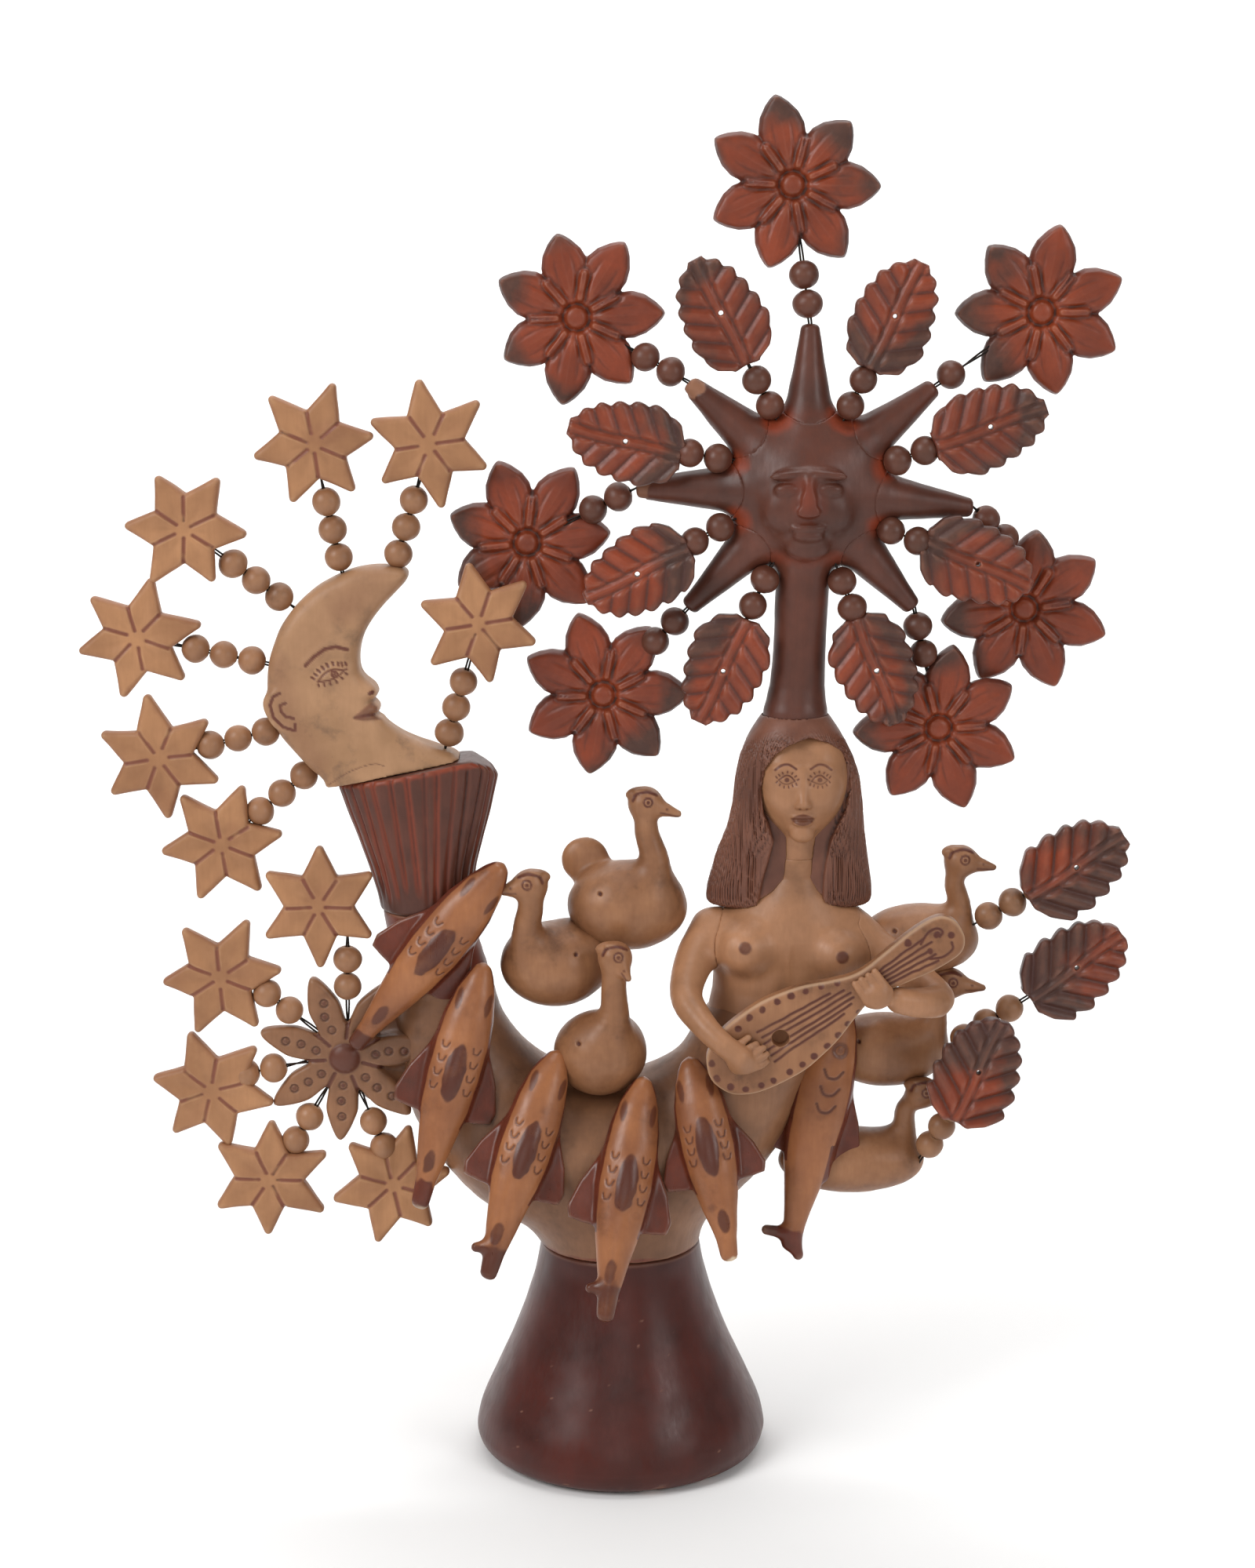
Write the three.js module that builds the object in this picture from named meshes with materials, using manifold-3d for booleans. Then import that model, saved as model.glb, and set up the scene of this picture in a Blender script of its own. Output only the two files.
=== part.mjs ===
// A burnished clay tree of life. A hollow crescent stands on a bell-shaped foot. Its left arm carries
// a moon in a pleated collar, its right arm a long-haired woman with a guitar and a rayed sun on a
// stalk above her head. Birds perch on it, fish hang down its front, and clay stars, flowers and leaves
// stand around it on wires strung with clay beads.
// Millimetres, +Z up, +X to the right as seen from the front, and the front faces -Y.
import * as THREE from "three";
import { mergeVertices } from "three/addons/utils/BufferGeometryUtils.js";
import Module from "manifold-3d";

const wasm = await Module();
wasm.setup();

// ---- Driving dimensions ----
const SEAM = 0.3; // clearance of a luted seam between two fired pieces
const foot = { height: 113, wall: 7, rim: 68, tread: 8, hem: 76, hemHeight: 13, neck: 41.5 };
const bowl = {
  left: 92, // reach of the left arm's centreline from the foot's axis
  right: 76,
  rise: 95, // from the lowest point of the centreline to the widest
  arm: 39, // how far the left arm runs on above the widest point
  lean: 8,
  thick: 45, // section radius at the bottom
  leftTip: 22, // section radius where the collar sits
  rightTip: 33, // section radius under the woman
  wall: 8,
  vent: 12,
};
const collar = { height: 70, bottom: 23, top: 42, depth: 21, pleats: 6, groove: 1.5, lean: -4 };
const moon = { radius: 56, thick: 27, centreUp: 50, centreOver: -19 };
const rosette = { radius: 44, thick: 9, petals: 7, turn: 60, out: 27.5, roll: -72 };
rosette.notch = rosette.radius / 2;
const woman = { height: 66, shoulder: 43, waist: 27, depth: 24, neck: 11, head: 22, headUp: 138, lean: 16 };
const arm = { shoulder: 11, elbow: 8.5, wrist: 6.5, hand: 8 };
const guitar = { length: 147, width: 42, head: 25, thick: 10, hole: 4.5, slope: 32.5, forward: 46 };
const stalk = { radius: 13.3, length: 114, tenon: 12, foot: 20 };
const sun = { radius: 38, depth: 23, rayBase: 12.5, rayTip: 4.8 };
const bird = { neck: 7.5, head: 9, beak: 3.6, fan: 11 };
const fish = { girth: 14, depth: 11, stem: 4.2, bite: 4.5, finSpan: 27, finThick: 3.2 };
const wire = { radius: 1.3, socket: 7 }; // a doubled strand, set in a hole in its carrier
const beadRadius = 7.1;
// The first bead clears its carrier, and the next ones touch.
const bead = { radius: beadRadius, first: beadRadius + 0.9, pitch: 2 * beadRadius + 0.2 };
const star = { radius: 32, notch: 16.5, thick: 9 };
const flower = { radius: 43, notch: 17, shoulder: 37, thick: 10, petals: 7 };
const leaf = { length: 57, width: 40, thick: 7, scallops: 5, bite: 2, hole: 1.3 };

// ---- Materials ----
const clay = (color, roughness) => new THREE.MeshStandardMaterial({ color, roughness, metalness: 0 });
const tan = clay(0xa97c5e, 0.55);
const paleTan = clay(0xc49a6c, 0.6);
const maroon = clay(0x4a2620, 0.3);
const umber = clay(0x5c3a34, 0.45);
const redSlip = clay(0xa04a2e, 0.4);
const ochre = clay(0xa8683f, 0.4);

// ---- Geometry helpers ----
const at = (x, z, y = 0) => new THREE.Vector3(x, y, z);
const radians = THREE.MathUtils.degToRad;
const mix = THREE.MathUtils.lerp;
const smooth = (t) => THREE.MathUtils.smoothstep(t, 0, 1);
const polar = (angle, radius) => at(radius * Math.cos(radians(angle)), radius * Math.sin(radians(angle)));

function solidFrom(geometry) {
  geometry.deleteAttribute("normal");
  geometry.deleteAttribute("uv");
  const merged = mergeVertices(geometry);
  return new wasm.Manifold(
    new wasm.Mesh({
      numProp: 3,
      vertProperties: merged.getAttribute("position").array,
      triVerts: new Uint32Array(merged.index.array),
    }),
  );
}

const joined = (solids) => solids.reduce((whole, next) => whole.add(next));

// A value read off a row of evenly spaced ones.
function along(values, t) {
  const place = THREE.MathUtils.clamp(t, 0, 1) * (values.length - 1);
  const from = Math.min(Math.floor(place), values.length - 2);
  return mix(values[from], values[from + 1], place - from);
}

// A round bar along a curve. radiusAt(t) gives its half depth (along Y) and its half width.
function bar(curve, radiusAt, sides, steps) {
  const geometry = new THREE.CylinderGeometry(1, 1, 1, sides, steps);
  const corner = geometry.getAttribute("position");
  for (let i = 0; i < corner.count; i++) {
    const t = THREE.MathUtils.clamp(corner.getY(i) + 0.5, 0, 1);
    const ahead = curve.getTangentAt(t);
    const deep = new THREE.Vector3(0, 1, 0).addScaledVector(ahead, -ahead.y).normalize();
    const wide = new THREE.Vector3().crossVectors(deep, ahead);
    const [halfDepth, halfWidth] = radiusAt(t);
    const point = curve.getPointAt(t);
    point.addScaledVector(deep, corner.getX(i) * halfDepth).addScaledVector(wide, corner.getZ(i) * halfWidth);
    corner.setXYZ(i, point.x, point.y, point.z);
  }
  return solidFrom(geometry);
}

// A bar through a few points with a radius at each, its ends pointed or blunt as the radii say.
function limb(points, radii, grow, sides = 10, steps = 8) {
  const round = (t) => [along(radii, t) + grow, along(radii, t) + grow];
  return bar(new THREE.CatmullRomCurve3(points), round, sides, steps);
}

function ellipsoid(centre, wide, deep, high, sides = 14, rows = 10) {
  const ball = new THREE.SphereGeometry(1, sides, rows);
  ball.scale(wide, deep, high).translate(centre.x, centre.y, centre.z);
  return solidFrom(ball);
}

// An outline in the XZ plane, made thick along Y about a middle plane.
function plate(shape, thick, middle, turn = 0, curveSegments = 4) {
  const slab = new THREE.ExtrudeGeometry(shape, { depth: thick, bevelEnabled: false, curveSegments });
  slab.translate(0, 0, -thick / 2).rotateX(Math.PI / 2);
  slab.rotateY(-radians(turn)).translate(middle.x, middle.y, middle.z);
  return solidFrom(slab);
}

// ---- The hollow crescent and its foot ----
const bowlHalf = (bowl.left + bowl.right) / 2;
const bowlCentre = at((bowl.right - bowl.left) / 2, foot.height + SEAM + bowl.thick + bowl.rise);

function bowlCurve() {
  const points = [at(-bowl.left - bowl.lean, bowlCentre.z + bowl.arm)];
  for (let turn = 180; turn <= 340; turn += 20) {
    const x = bowlCentre.x + bowlHalf * Math.cos(radians(turn));
    points.push(at(x, bowlCentre.z + bowl.rise * Math.sin(radians(turn))));
  }
  return new THREE.CatmullRomCurve3(points);
}
const centreline = bowlCurve();
const DEEPEST = 0.626; // how far along the centreline the section is largest

function bowlRadius(t) {
  if (t < DEEPEST) return mix(bowl.leftTip, bowl.thick, smooth(t / DEEPEST));
  return mix(bowl.thick, bowl.rightTip, smooth((t - DEEPEST) / (1 - DEEPEST)));
}

// The way out of the crescent's surface at t: roll 0 faces the front, 90 the inside of the crescent,
// -90 the outside.
function bowlOutward(t, roll) {
  const ahead = centreline.getTangentAt(t);
  const inward = at(-ahead.z, ahead.x);
  const forward = at(0, 0, -1);
  return inward.multiplyScalar(Math.sin(radians(roll))).addScaledVector(forward, Math.cos(radians(roll)));
}

function onBowl(t, roll, off = 0) {
  return centreline.getPointAt(t).addScaledVector(bowlOutward(t, roll), bowlRadius(t) + off);
}

// The crescent's outside, with the round pad that stands on the foot.
function bowlOutside(grow) {
  const round = (t) => [bowlRadius(t) + grow, bowlRadius(t) + grow];
  const pad = new THREE.CylinderGeometry(bowl.thick - 2 + grow, foot.neck + grow, bowl.thick, 20);
  pad.rotateX(Math.PI / 2).translate(0, 0, foot.height + SEAM - grow + bowl.thick / 2);
  return bar(centreline, round, 18, 18).add(solidFrom(pad));
}

function crescent() {
  const inner = new THREE.CatmullRomCurve3([0.06, 0.2, 0.35, 0.5, 0.61, 0.75, 0.86, 0.95].map(
    (t) => centreline.getPointAt(t)));
  const hollow = bar(inner, (t) => {
    const radius = bowlRadius(mix(0.06, 0.95, t)) - bowl.wall;
    return [radius, radius];
  }, 10, 10);
  const vent = new THREE.CylinderGeometry(bowl.vent, bowl.vent, bowl.thick, 12);
  vent.rotateX(Math.PI / 2).translate(0, 0, foot.height + bowl.thick / 2 - 1);
  return bowlOutside(0).subtract(hollow).subtract(solidFrom(vent));
}

// Outer half of the bell from the floor up, as [radius, height].
function bellProfile(inset) {
  const { height, rim, hem, hemHeight, neck } = foot;
  const outline = new THREE.SplineCurve([
    new THREE.Vector2(rim, 0),
    new THREE.Vector2(hem - 1.5, hemHeight * 0.4),
    new THREE.Vector2(hem, hemHeight),
    new THREE.Vector2(mix(hem, neck, 0.08), hemHeight * 1.8),
    new THREE.Vector2(mix(hem, neck, 0.58), mix(hemHeight, height, 0.48)),
    new THREE.Vector2(mix(hem, neck, 0.95), mix(hemHeight, height, 0.83)),
    new THREE.Vector2(neck, height),
  ]);
  return outline.getPoints(8).map((p) => new THREE.Vector2(p.x - inset, p.y));
}

// The bell without its hollow, up to where the crescent stands on it.
function bellOutside(grow) {
  const edge = bellProfile(-grow);
  const top = new THREE.Vector2(0, foot.height);
  const solid = new THREE.LatheGeometry([new THREE.Vector2(0, 0), ...edge, top], 28);
  return solidFrom(solid.rotateX(Math.PI / 2));
}

function bell() {
  const outside = bellProfile(0);
  const inside = bellProfile(foot.wall).reverse();
  inside[inside.length - 1].x = foot.rim - foot.tread;
  const wall = new THREE.LatheGeometry([...outside, ...inside, outside[0].clone()], 28);
  return solidFrom(wall.rotateX(Math.PI / 2));
}

// ---- The moon in its pleated collar ----
const collarFoot = centreline.getPointAt(0);
const collarHead = at(collarFoot.x + collar.lean, collarFoot.z + collar.height);
const moonCentre = at(collarHead.x + moon.centreOver, collarHead.z + moon.centreUp);

function collarBody(grow) {
  const spine = new THREE.LineCurve3(at(collarFoot.x, collarFoot.z + SEAM - grow), collarHead);
  const spread = (t) => mix(collar.bottom, collar.top, Math.pow(t, 1.25)) + grow;
  return bar(spine, (t) => [mix(collar.bottom, collar.depth, t) + grow, spread(t)], 18, 3);
}

function pleatedCollar() {
  let body = collarBody(0);
  for (let i = 0; i < 2 * collar.pleats; i++) {
    const fan = mix(40, 140, (i % collar.pleats) / (collar.pleats - 1));
    const turn = radians(i < collar.pleats ? fan : -fan);
    const edge = (t) => {
      const wide = mix(collar.bottom, collar.top, Math.pow(t, 1.25)) * Math.cos(turn);
      const deep = mix(collar.bottom, collar.depth, t) * Math.sin(turn);
      return at(mix(collarFoot.x, collarHead.x, t) + wide, mix(collarFoot.z, collarHead.z, t), deep);
    };
    const groove = new THREE.LineCurve3(edge(0.12), edge(1.02));
    body = body.subtract(bar(groove, () => [collar.groove, collar.groove], 4, 1));
  }
  return body;
}

// The moon's profile to the right of its centre: horn, brow, nose, lips and chin, as shares of its radius.
const MOON_FACE = [
  [0.05, 0.8], [-0.1, 0.53], [-0.17, 0.25], [-0.18, 0.11], [0, -0.13], [-0.07, -0.21],
  [0.05, -0.32], [0.02, -0.4], [0.15, -0.52], [0.41, -0.66], [0.76, -0.75],
];

function moonBody(grow) {
  const reach = moon.radius + grow;
  const outline = new THREE.Shape();
  outline.absarc(0, 0, reach, radians(75), radians(249), false);
  outline.lineTo(-0.3 * reach, -1.12 * reach);
  outline.lineTo(0.5 * reach, -1.1 * reach);
  for (const [x, z] of [...MOON_FACE].reverse()) outline.lineTo(x * reach + grow, z * reach);
  return plate(outline, moon.thick + 2 * grow, moonCentre, 0, 14);
}

// ---- The rosette on the crescent's left flank ----
const ROSETTE_ALONG = 0.228;
const rosetteCentre = onBowl(ROSETTE_ALONG, rosette.roll, rosette.out);

// A ring of pointed petals. Tips and notches take turns, with a shoulder between them.
function petalRing(count, radius, notch, shoulder) {
  const reach = [radius, shoulder, notch, shoulder];
  const points = Array.from({ length: 4 * count }, (_, i) => polar((90 * i) / count, reach[i % 4]));
  return new THREE.Shape(points.map((p) => new THREE.Vector2(p.x, p.z)));
}

function rosetteBody(grow) {
  const shoulder = 0.8 * rosette.radius + grow;
  const shape = petalRing(rosette.petals, rosette.radius + grow, rosette.notch + grow, shoulder);
  return plate(shape, rosette.thick + 2 * grow, rosetteCentre, rosette.turn);
}

// ---- The woman ----
const CROWN = 1.62; // how far the hair stands above the middle of her face, in half widths of her head
const waist = centreline.getPointAt(1);
const shoulders = at(waist.x + woman.lean * 0.65, waist.z + woman.height);
const face = at(waist.x + woman.lean, waist.z + woman.headUp, -4);

function torso(grow) {
  const spine = new THREE.CatmullRomCurve3([
    at(waist.x, waist.z + SEAM - grow),
    at(mix(waist.x, shoulders.x, 0.5), mix(waist.z, shoulders.z, 0.5)),
    shoulders,
    at(mix(shoulders.x, face.x, 0.5), mix(shoulders.z, face.z, 0.5), -2),
    at(face.x, face.z + woman.head * 1.35, face.y),
  ]);
  const { waist: w, shoulder: s, neck: n, head: h, depth: d } = woman;
  const widths = [bowl.rightTip - 2, w, w + 4, w + 9, s, s * 0.72, n, n, h * 0.75, h, h * 0.92, h * 0.3];
  const depths = [bowl.rightTip - 5, d, d, d, d * 0.85, d * 0.7, n, n, h * 0.85, h * 1.12, h, h * 0.3];
  return bar(spine, (t) => [along(depths, t) + grow, along(widths, t) + grow], 16, 18);
}

function hair() {
  const { head: h, shoulder: s } = woman;
  const top = face.z + h * CROWN;
  const spine = new THREE.LineCurve3(at(face.x - 4, shoulders.z + 12, 5), at(face.x + 1, top, 1));
  const widths = [s - 1, s * 0.92, s * 0.84, s * 0.76, s * 0.71, s * 0.66, s * 0.5, stalk.foot];
  const depths = [h + 6, h + 6, h + 6, h + 5, h + 4, h + 4, h, stalk.foot - 1];
  const mass = bar(spine, (t) => [along(depths, t), along(widths, t)], 18, 8);
  const opening = new THREE.Shape();
  const half = h * 0.92;
  opening.moveTo(-half, shoulders.z - face.z);
  opening.lineTo(half, shoulders.z - face.z);
  opening.lineTo(half, 4);
  opening.absellipse(0, 4, half, h * 1.15, 0, Math.PI, false);
  const reach = 3 * h;
  return mass.subtract(plate(opening, reach, at(face.x, face.z, -reach / 2 - 6)));
}

// ---- Her arms and guitar ----
const guitarEnd = at(waist.x - 25, waist.z - 6, -guitar.forward);
const guitarUp = polar(guitar.slope, 1);
const onGuitar = (run, rise = 0, forward = 0) =>
  guitarEnd.clone()
    .addScaledVector(guitarUp, run)
    .addScaledVector(at(-guitarUp.z, guitarUp.x), rise)
    .add(at(0, 0, -guitar.thick / 2 - forward));

function guitarBody(grow) {
  const half = guitar.width / 2;
  const head = guitar.head / 2;
  const runs = [0, 0.04, 0.13, 0.28, 0.42, 0.55, 0.63, 0.74, 0.92, 0.985, 1];
  const bowlRises = [0, 0.62, 0.95, 1, 0.86, 0.5, 0.36].map((share) => share * half);
  const headRises = [0.7, 1, 0.7, 0].map((share) => share * head);
  const rises = [...bowlRises, ...headRises];
  const upper = runs.map((run, i) => new THREE.Vector2(run * guitar.length, rises[i] + grow));
  const lower = upper.slice(1, -1).reverse().map((p) => new THREE.Vector2(p.x, -p.y));
  upper[0].set(-grow, 0);
  upper[upper.length - 1].set(guitar.length + grow, 0);
  return plate(new THREE.Shape([...upper, ...lower]), guitar.thick + 2 * grow, guitarEnd, guitar.slope);
}

function guitarPiece() {
  const hole = new THREE.CylinderGeometry(guitar.hole, guitar.hole, 3 * guitar.thick, 12);
  const centre = onGuitar(0.28 * guitar.length);
  return guitarBody(0).subtract(solidFrom(hole.translate(centre.x, centre.y, centre.z)));
}

function rightArm(grow) {
  const hand = onGuitar(0.2 * guitar.length, 2, 4);
  const shoulder = at(shoulders.x - woman.shoulder + 6, shoulders.z - 8);
  const elbow = at(shoulder.x - 11, shoulder.z - 27, -34);
  const wrist = at(mix(elbow.x, hand.x, 0.72), mix(elbow.z, hand.z, 0.78), mix(elbow.y, hand.y, 1.1));
  const radii = [arm.shoulder, arm.shoulder, arm.elbow, arm.elbow, arm.wrist, arm.wrist, arm.hand * 0.8, 3];
  return limb([shoulder, elbow, wrist, hand], radii, grow, 9, 12);
}

function leftArm(grow) {
  const hand = onGuitar(0.66 * guitar.length, -1, 4);
  const shoulder = at(shoulders.x + woman.shoulder - 6, shoulders.z - 8);
  const elbow = at(shoulder.x + 43, shoulder.z - 26, -32);
  const wrist = at(mix(elbow.x, hand.x, 0.62), mix(elbow.z, hand.z, 0.2) - 1, mix(elbow.y, hand.y, 0.55));
  const radii = [arm.shoulder, arm.shoulder, arm.elbow, arm.elbow, arm.elbow, arm.wrist, arm.hand * 0.8, 3];
  return limb([shoulder, at(mix(shoulder.x, elbow.x, 0.55), mix(shoulder.z, elbow.z, 0.45), -12),
    elbow, wrist, hand], radii, grow, 9, 14);
}

// ---- The sun on its stalk ----
const stalkFoot = at(face.x + 1, face.z + woman.head * CROWN - stalk.tenon);
const sunCentre = at(stalkFoot.x + 6, stalkFoot.z + stalk.tenon + stalk.length);
// Each ray's direction in degrees and how far it stands out of the sun's disc.
const RAYS = [[90, 44], [139, 43], [180.5, 49], [225.5, 48], [-48.5, 44], [-7, 46], [39, 43]].map(
  ([angle, out]) => [angle, sun.radius + out]);

function sunFace(grow) {
  const post = new THREE.LineCurve3(at(stalkFoot.x, stalkFoot.z - grow), sunCentre);
  const radii = [stalk.foot, stalk.radius + 1, stalk.radius, stalk.radius, stalk.radius];
  const stem = bar(post, (t) => [along(radii, t) * 0.9 + grow, along(radii, t) + grow], 14, 6);
  return stem.add(ellipsoid(sunCentre, sun.radius + grow, sun.depth + grow, sun.radius + grow, 18, 8));
}

function ray([angle, length]) {
  const spine = new THREE.LineCurve3(
    sunCentre.clone().add(polar(angle, 0.6 * sun.radius)),
    sunCentre.clone().add(polar(angle, length)),
  );
  return (grow) => bar(spine, (t) => {
    const radius = mix(sun.rayBase, sun.rayTip, t) + grow;
    return [radius, radius];
  }, 8, 1);
}

// ---- Birds ----
// centre, half length, half depth and half height of the body, then the neck's points and the beak's tip.
function birdBody({ centre, size, neck, beak, tail }) {
  const head = neck[neck.length - 1];
  return (grow) => joined([
    ellipsoid(centre, size[0] + grow, size[1] + grow, size[2] + grow, 12, 7),
    limb(neck, [bird.neck * 1.75, bird.neck * 1.15, bird.neck * 0.9, bird.neck * 0.9], grow, 8, 4),
    ellipsoid(head, bird.head + grow, bird.head * 0.85 + grow, bird.head + grow, 8, 6),
    limb([head, beak], [bird.head * 0.75, bird.beak, 1], grow, 6, 2),
    ...(tail ? [ellipsoid(tail, bird.fan + grow, 0.45 * bird.fan + grow, bird.fan + grow, 10, 6)] : []),
  ]);
}

function flock() {
  const low = onBowl(0.574, 72, 20.8);
  const middle = low.clone().add(at(-24, 43, 14));
  const top = low.clone().add(at(14, 73, 18));
  const side = at(shoulders.x + woman.shoulder + 30, shoulders.z - 13, 6);
  const flank = at(waist.x + 67, waist.z - 7, 8);
  const under = onBowl(0.898, -90, 40).add(at(0, 0, 3));
  const up = (from, ...steps) => steps.map(([x, z, y]) => from.clone().add(at(x, z, y)));
  return {
    left_bird_low: {
      centre: low, size: [24, 23, 22],
      neck: up(low, [2, 6, -8], [7, 22, -12], [7, 38, -12], [8, 53, -12]),
      beak: low.clone().add(at(15, 44, -22)),
    },
    left_bird_middle: {
      centre: middle, size: [27, 24, 22],
      neck: up(middle, [-9, 4, -8], [-13, 20, -14], [-11, 34, -16], [-11, 45, -16]),
      beak: middle.clone().add(at(-27, 43, -19)),
    },
    left_bird_top: {
      centre: top, size: [31, 23, 23],
      neck: up(top, [10, 6, -4], [14, 24, -8], [10, 40, -8], [9, 55, -8]),
      beak: top.clone().add(at(27, 50, -11)),
      tail: top.clone().add(at(-22, 21, 12)),
    },
    right_bird_top: {
      centre: side, size: [31, 20, 18],
      neck: up(side, [14, 2, -4], [20, 18, -6], [17, 32, -8], [20, 43, -8]),
      beak: side.clone().add(at(38, 40, -10)),
    },
    right_bird_middle: {
      centre: flank, size: [33, 20, 19],
      neck: up(flank, [18, 4, -2], [25, 16, -4], [26, 27, -5], [32, 37, -6]),
      beak: flank.clone().add(at(51, 35, -8)),
    },
    right_bird_low: {
      centre: under, size: [38, 19, 17],
      neck: up(under, [21, 2, 2], [27, 16, 0], [28, 29, -3], [36, 38, -6]),
      beak: under.clone().add(at(53, 36, -8)),
    },
  };
}
const birds = flock();

// ---- Fish ----
// Where each lies: place along the crescent, roll about it, heading in the front plane, how far the
// tail swings forward, and length.
const FISH = [
  { t: 0.03, roll: 23, heading: -129, swing: 0, length: 125 },
  { t: 0.242, roll: 10, heading: -106, swing: 12, length: 130 },
  { t: 0.454, roll: 18, heading: -110, swing: 20, length: 122 },
  { t: 0.676, roll: 12, heading: -101, swing: 22, length: 126 },
  { t: 0.84, roll: 8, heading: -77, swing: 20, length: 106 },
  { t: 0.974, roll: -72, heading: -103, swing: 8, length: 135 },
];
const FISH_GRIP = 0.36; // where along its back a fish is luted on, from the nose

function fishBody({ t, roll, heading, swing, length }) {
  const down = polar(heading, Math.cos(radians(swing))).add(at(0, 0, -Math.sin(radians(swing))));
  const reach = Math.hypot(fish.girth * Math.sin(radians(roll)), fish.depth * Math.cos(radians(roll)));
  const grip = onBowl(t, roll, reach - fish.bite);
  const nose = grip.clone().addScaledVector(down, -FISH_GRIP * length);
  const spine = new THREE.LineCurve3(nose, nose.clone().addScaledVector(down, length));
  const widths = [0.22, 0.72, 0.95, 1, 0.95, 0.8, 0.62, 0.42, 0.34, 0.5];
  return (grow) => {
    const trunk = bar(spine, (s) => {
      const share = along(widths, s);
      return [mix(fish.stem, fish.depth, share) * share + grow, fish.girth * share + grow];
    }, 10, 8);
    const fin = new THREE.Shape();
    fin.moveTo(0.2 * length, 0);
    fin.lineTo(0.52 * length, fish.finSpan);
    fin.lineTo(0.56 * length, fish.finSpan * 0.75);
    fin.lineTo(0.6 * length, 0);
    fin.lineTo(0.56 * length, -fish.finSpan * 0.75);
    fin.lineTo(0.52 * length, -fish.finSpan);
    const slab = new THREE.ExtrudeGeometry(fin, { depth: fish.finThick + 2 * grow, bevelEnabled: false });
    slab.translate(0, 0, -fish.finThick / 2 - grow);
    const sideways = new THREE.Vector3().crossVectors(new THREE.Vector3(0, 1, 0), down).normalize();
    const normal = new THREE.Vector3().crossVectors(down, sideways);
    slab.applyMatrix4(new THREE.Matrix4().makeBasis(down, sideways, normal).setPosition(nose));
    return trunk.add(solidFrom(slab));
  };
}

// ---- Ornaments on beaded wires ----
function starShape() {
  const points = Array.from({ length: 12 }, (_, i) => polar(i * 30, i % 2 ? star.notch : star.radius));
  return new THREE.Shape(points.map((p) => new THREE.Vector2(p.x, p.z)));
}

function leafShape() {
  const side = [];
  for (let i = 0; i <= leaf.scallops; i++) {
    const share = i / leaf.scallops;
    const half = (leaf.width / 2) * Math.sin(Math.PI * Math.pow(mix(0.1, 0.97, share), 0.8));
    const run = mix(-leaf.length / 2, leaf.length / 2, share);
    side.push(new THREE.Vector2(run, -half));
    const crest = run + (0.75 * leaf.length) / leaf.scallops;
    if (i < leaf.scallops) side.push(new THREE.Vector2(crest, -half - leaf.bite));
  }
  const other = side.map((p) => new THREE.Vector2(p.x, -p.y)).reverse();
  const shape = new THREE.Shape([...side, ...other]);
  shape.holes.push(new THREE.Path().absarc(0, 0, leaf.hole, 0, 2 * Math.PI, true));
  return shape;
}

const ORNAMENTS = {
  star: { shape: starShape(), thick: star.thick, material: paleTan },
  flower: {
    shape: petalRing(flower.petals, flower.radius, flower.notch, flower.shoulder),
    thick: flower.thick,
    material: redSlip,
  },
  leaf: { shape: leafShape(), thick: leaf.thick, material: redSlip },
};

// A stem from inside its carrier to the middle of its ornament, as [radius, distance from the root].
function stemProfile(beads, start, reach) {
  const profile = [[0, -wire.socket], [wire.radius, -wire.socket]];
  for (let i = 0; i < beads; i++) {
    const centre = start + bead.first + i * bead.pitch;
    for (const turn of [-78, -28, 28, 78]) {
      const slice = radians(turn);
      profile.push([Math.cos(slice) * bead.radius, centre + Math.sin(slice) * bead.radius]);
    }
  }
  return [...profile, [wire.radius, reach], [0, reach]];
}

function turned(profile, root, way, sides) {
  const stem = new THREE.LatheGeometry(profile.map(([r, y]) => new THREE.Vector2(r, y)), sides);
  const aim = new THREE.Quaternion().setFromUnitVectors(new THREE.Vector3(0, 1, 0), way);
  return solidFrom(stem.applyQuaternion(aim).translate(root.x, root.y, root.z));
}

// The way a stem runs: to its ornament's middle, or by its own heading to the point abreast of it.
function stemRun({ root, middle, aim }) {
  const across = middle.clone().sub(root);
  if (aim === undefined) return across;
  const heading = polar(aim, 1);
  const run = across.dot(heading);
  return heading.multiplyScalar(run).add(at(0, 0, across.y));
}

// One ornament with its beads and wire, which ends inside its carrier.
function ornament({ kind, root, middle, beads, start = 0, turn, aim }) {
  const { shape, thick } = ORNAMENTS[kind];
  const run = stemRun({ root, middle, aim });
  const profile = stemProfile(beads, start, run.length());
  return plate(shape, thick, middle, turn, 2).add(turned(profile, root, run.normalize(), 6));
}

// The end of the wire, from inside the carrier to the middle of the first bead.
function wireEnd({ root, middle, aim, start = 0 }) {
  const end = start + bead.first;
  const profile = [[0, -wire.socket], [wire.radius, -wire.socket], [wire.radius, end], [0, end]];
  return turned(profile, root, stemRun({ root, middle, aim }).normalize(), 6);
}

function socketCut({ root, middle, aim }) {
  const way = stemRun({ root, middle, aim }).normalize();
  const radius = wire.radius + SEAM;
  const bottom = -wire.socket - SEAM;
  return turned([[0, bottom], [radius, bottom], [radius, wire.socket], [0, wire.socket]], root, way, 6);
}

// Stars around the moon: direction of the root and of the star from the moon's centre, how far the star
// stands beyond the moon's rim, its depth and its own turn.
const MOON_STARS = [
  [235, 226.5, 61, -6, 8],
  [208, 200, 62, -6, 38],
  [173, 170, 66, -4, 15],
  [139.5, 140.5, 65, -14, 56],
  [107.5, 104, 66, -6, 10],
  [80.5, 76.5, 66, -6, 38],
];
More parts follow.
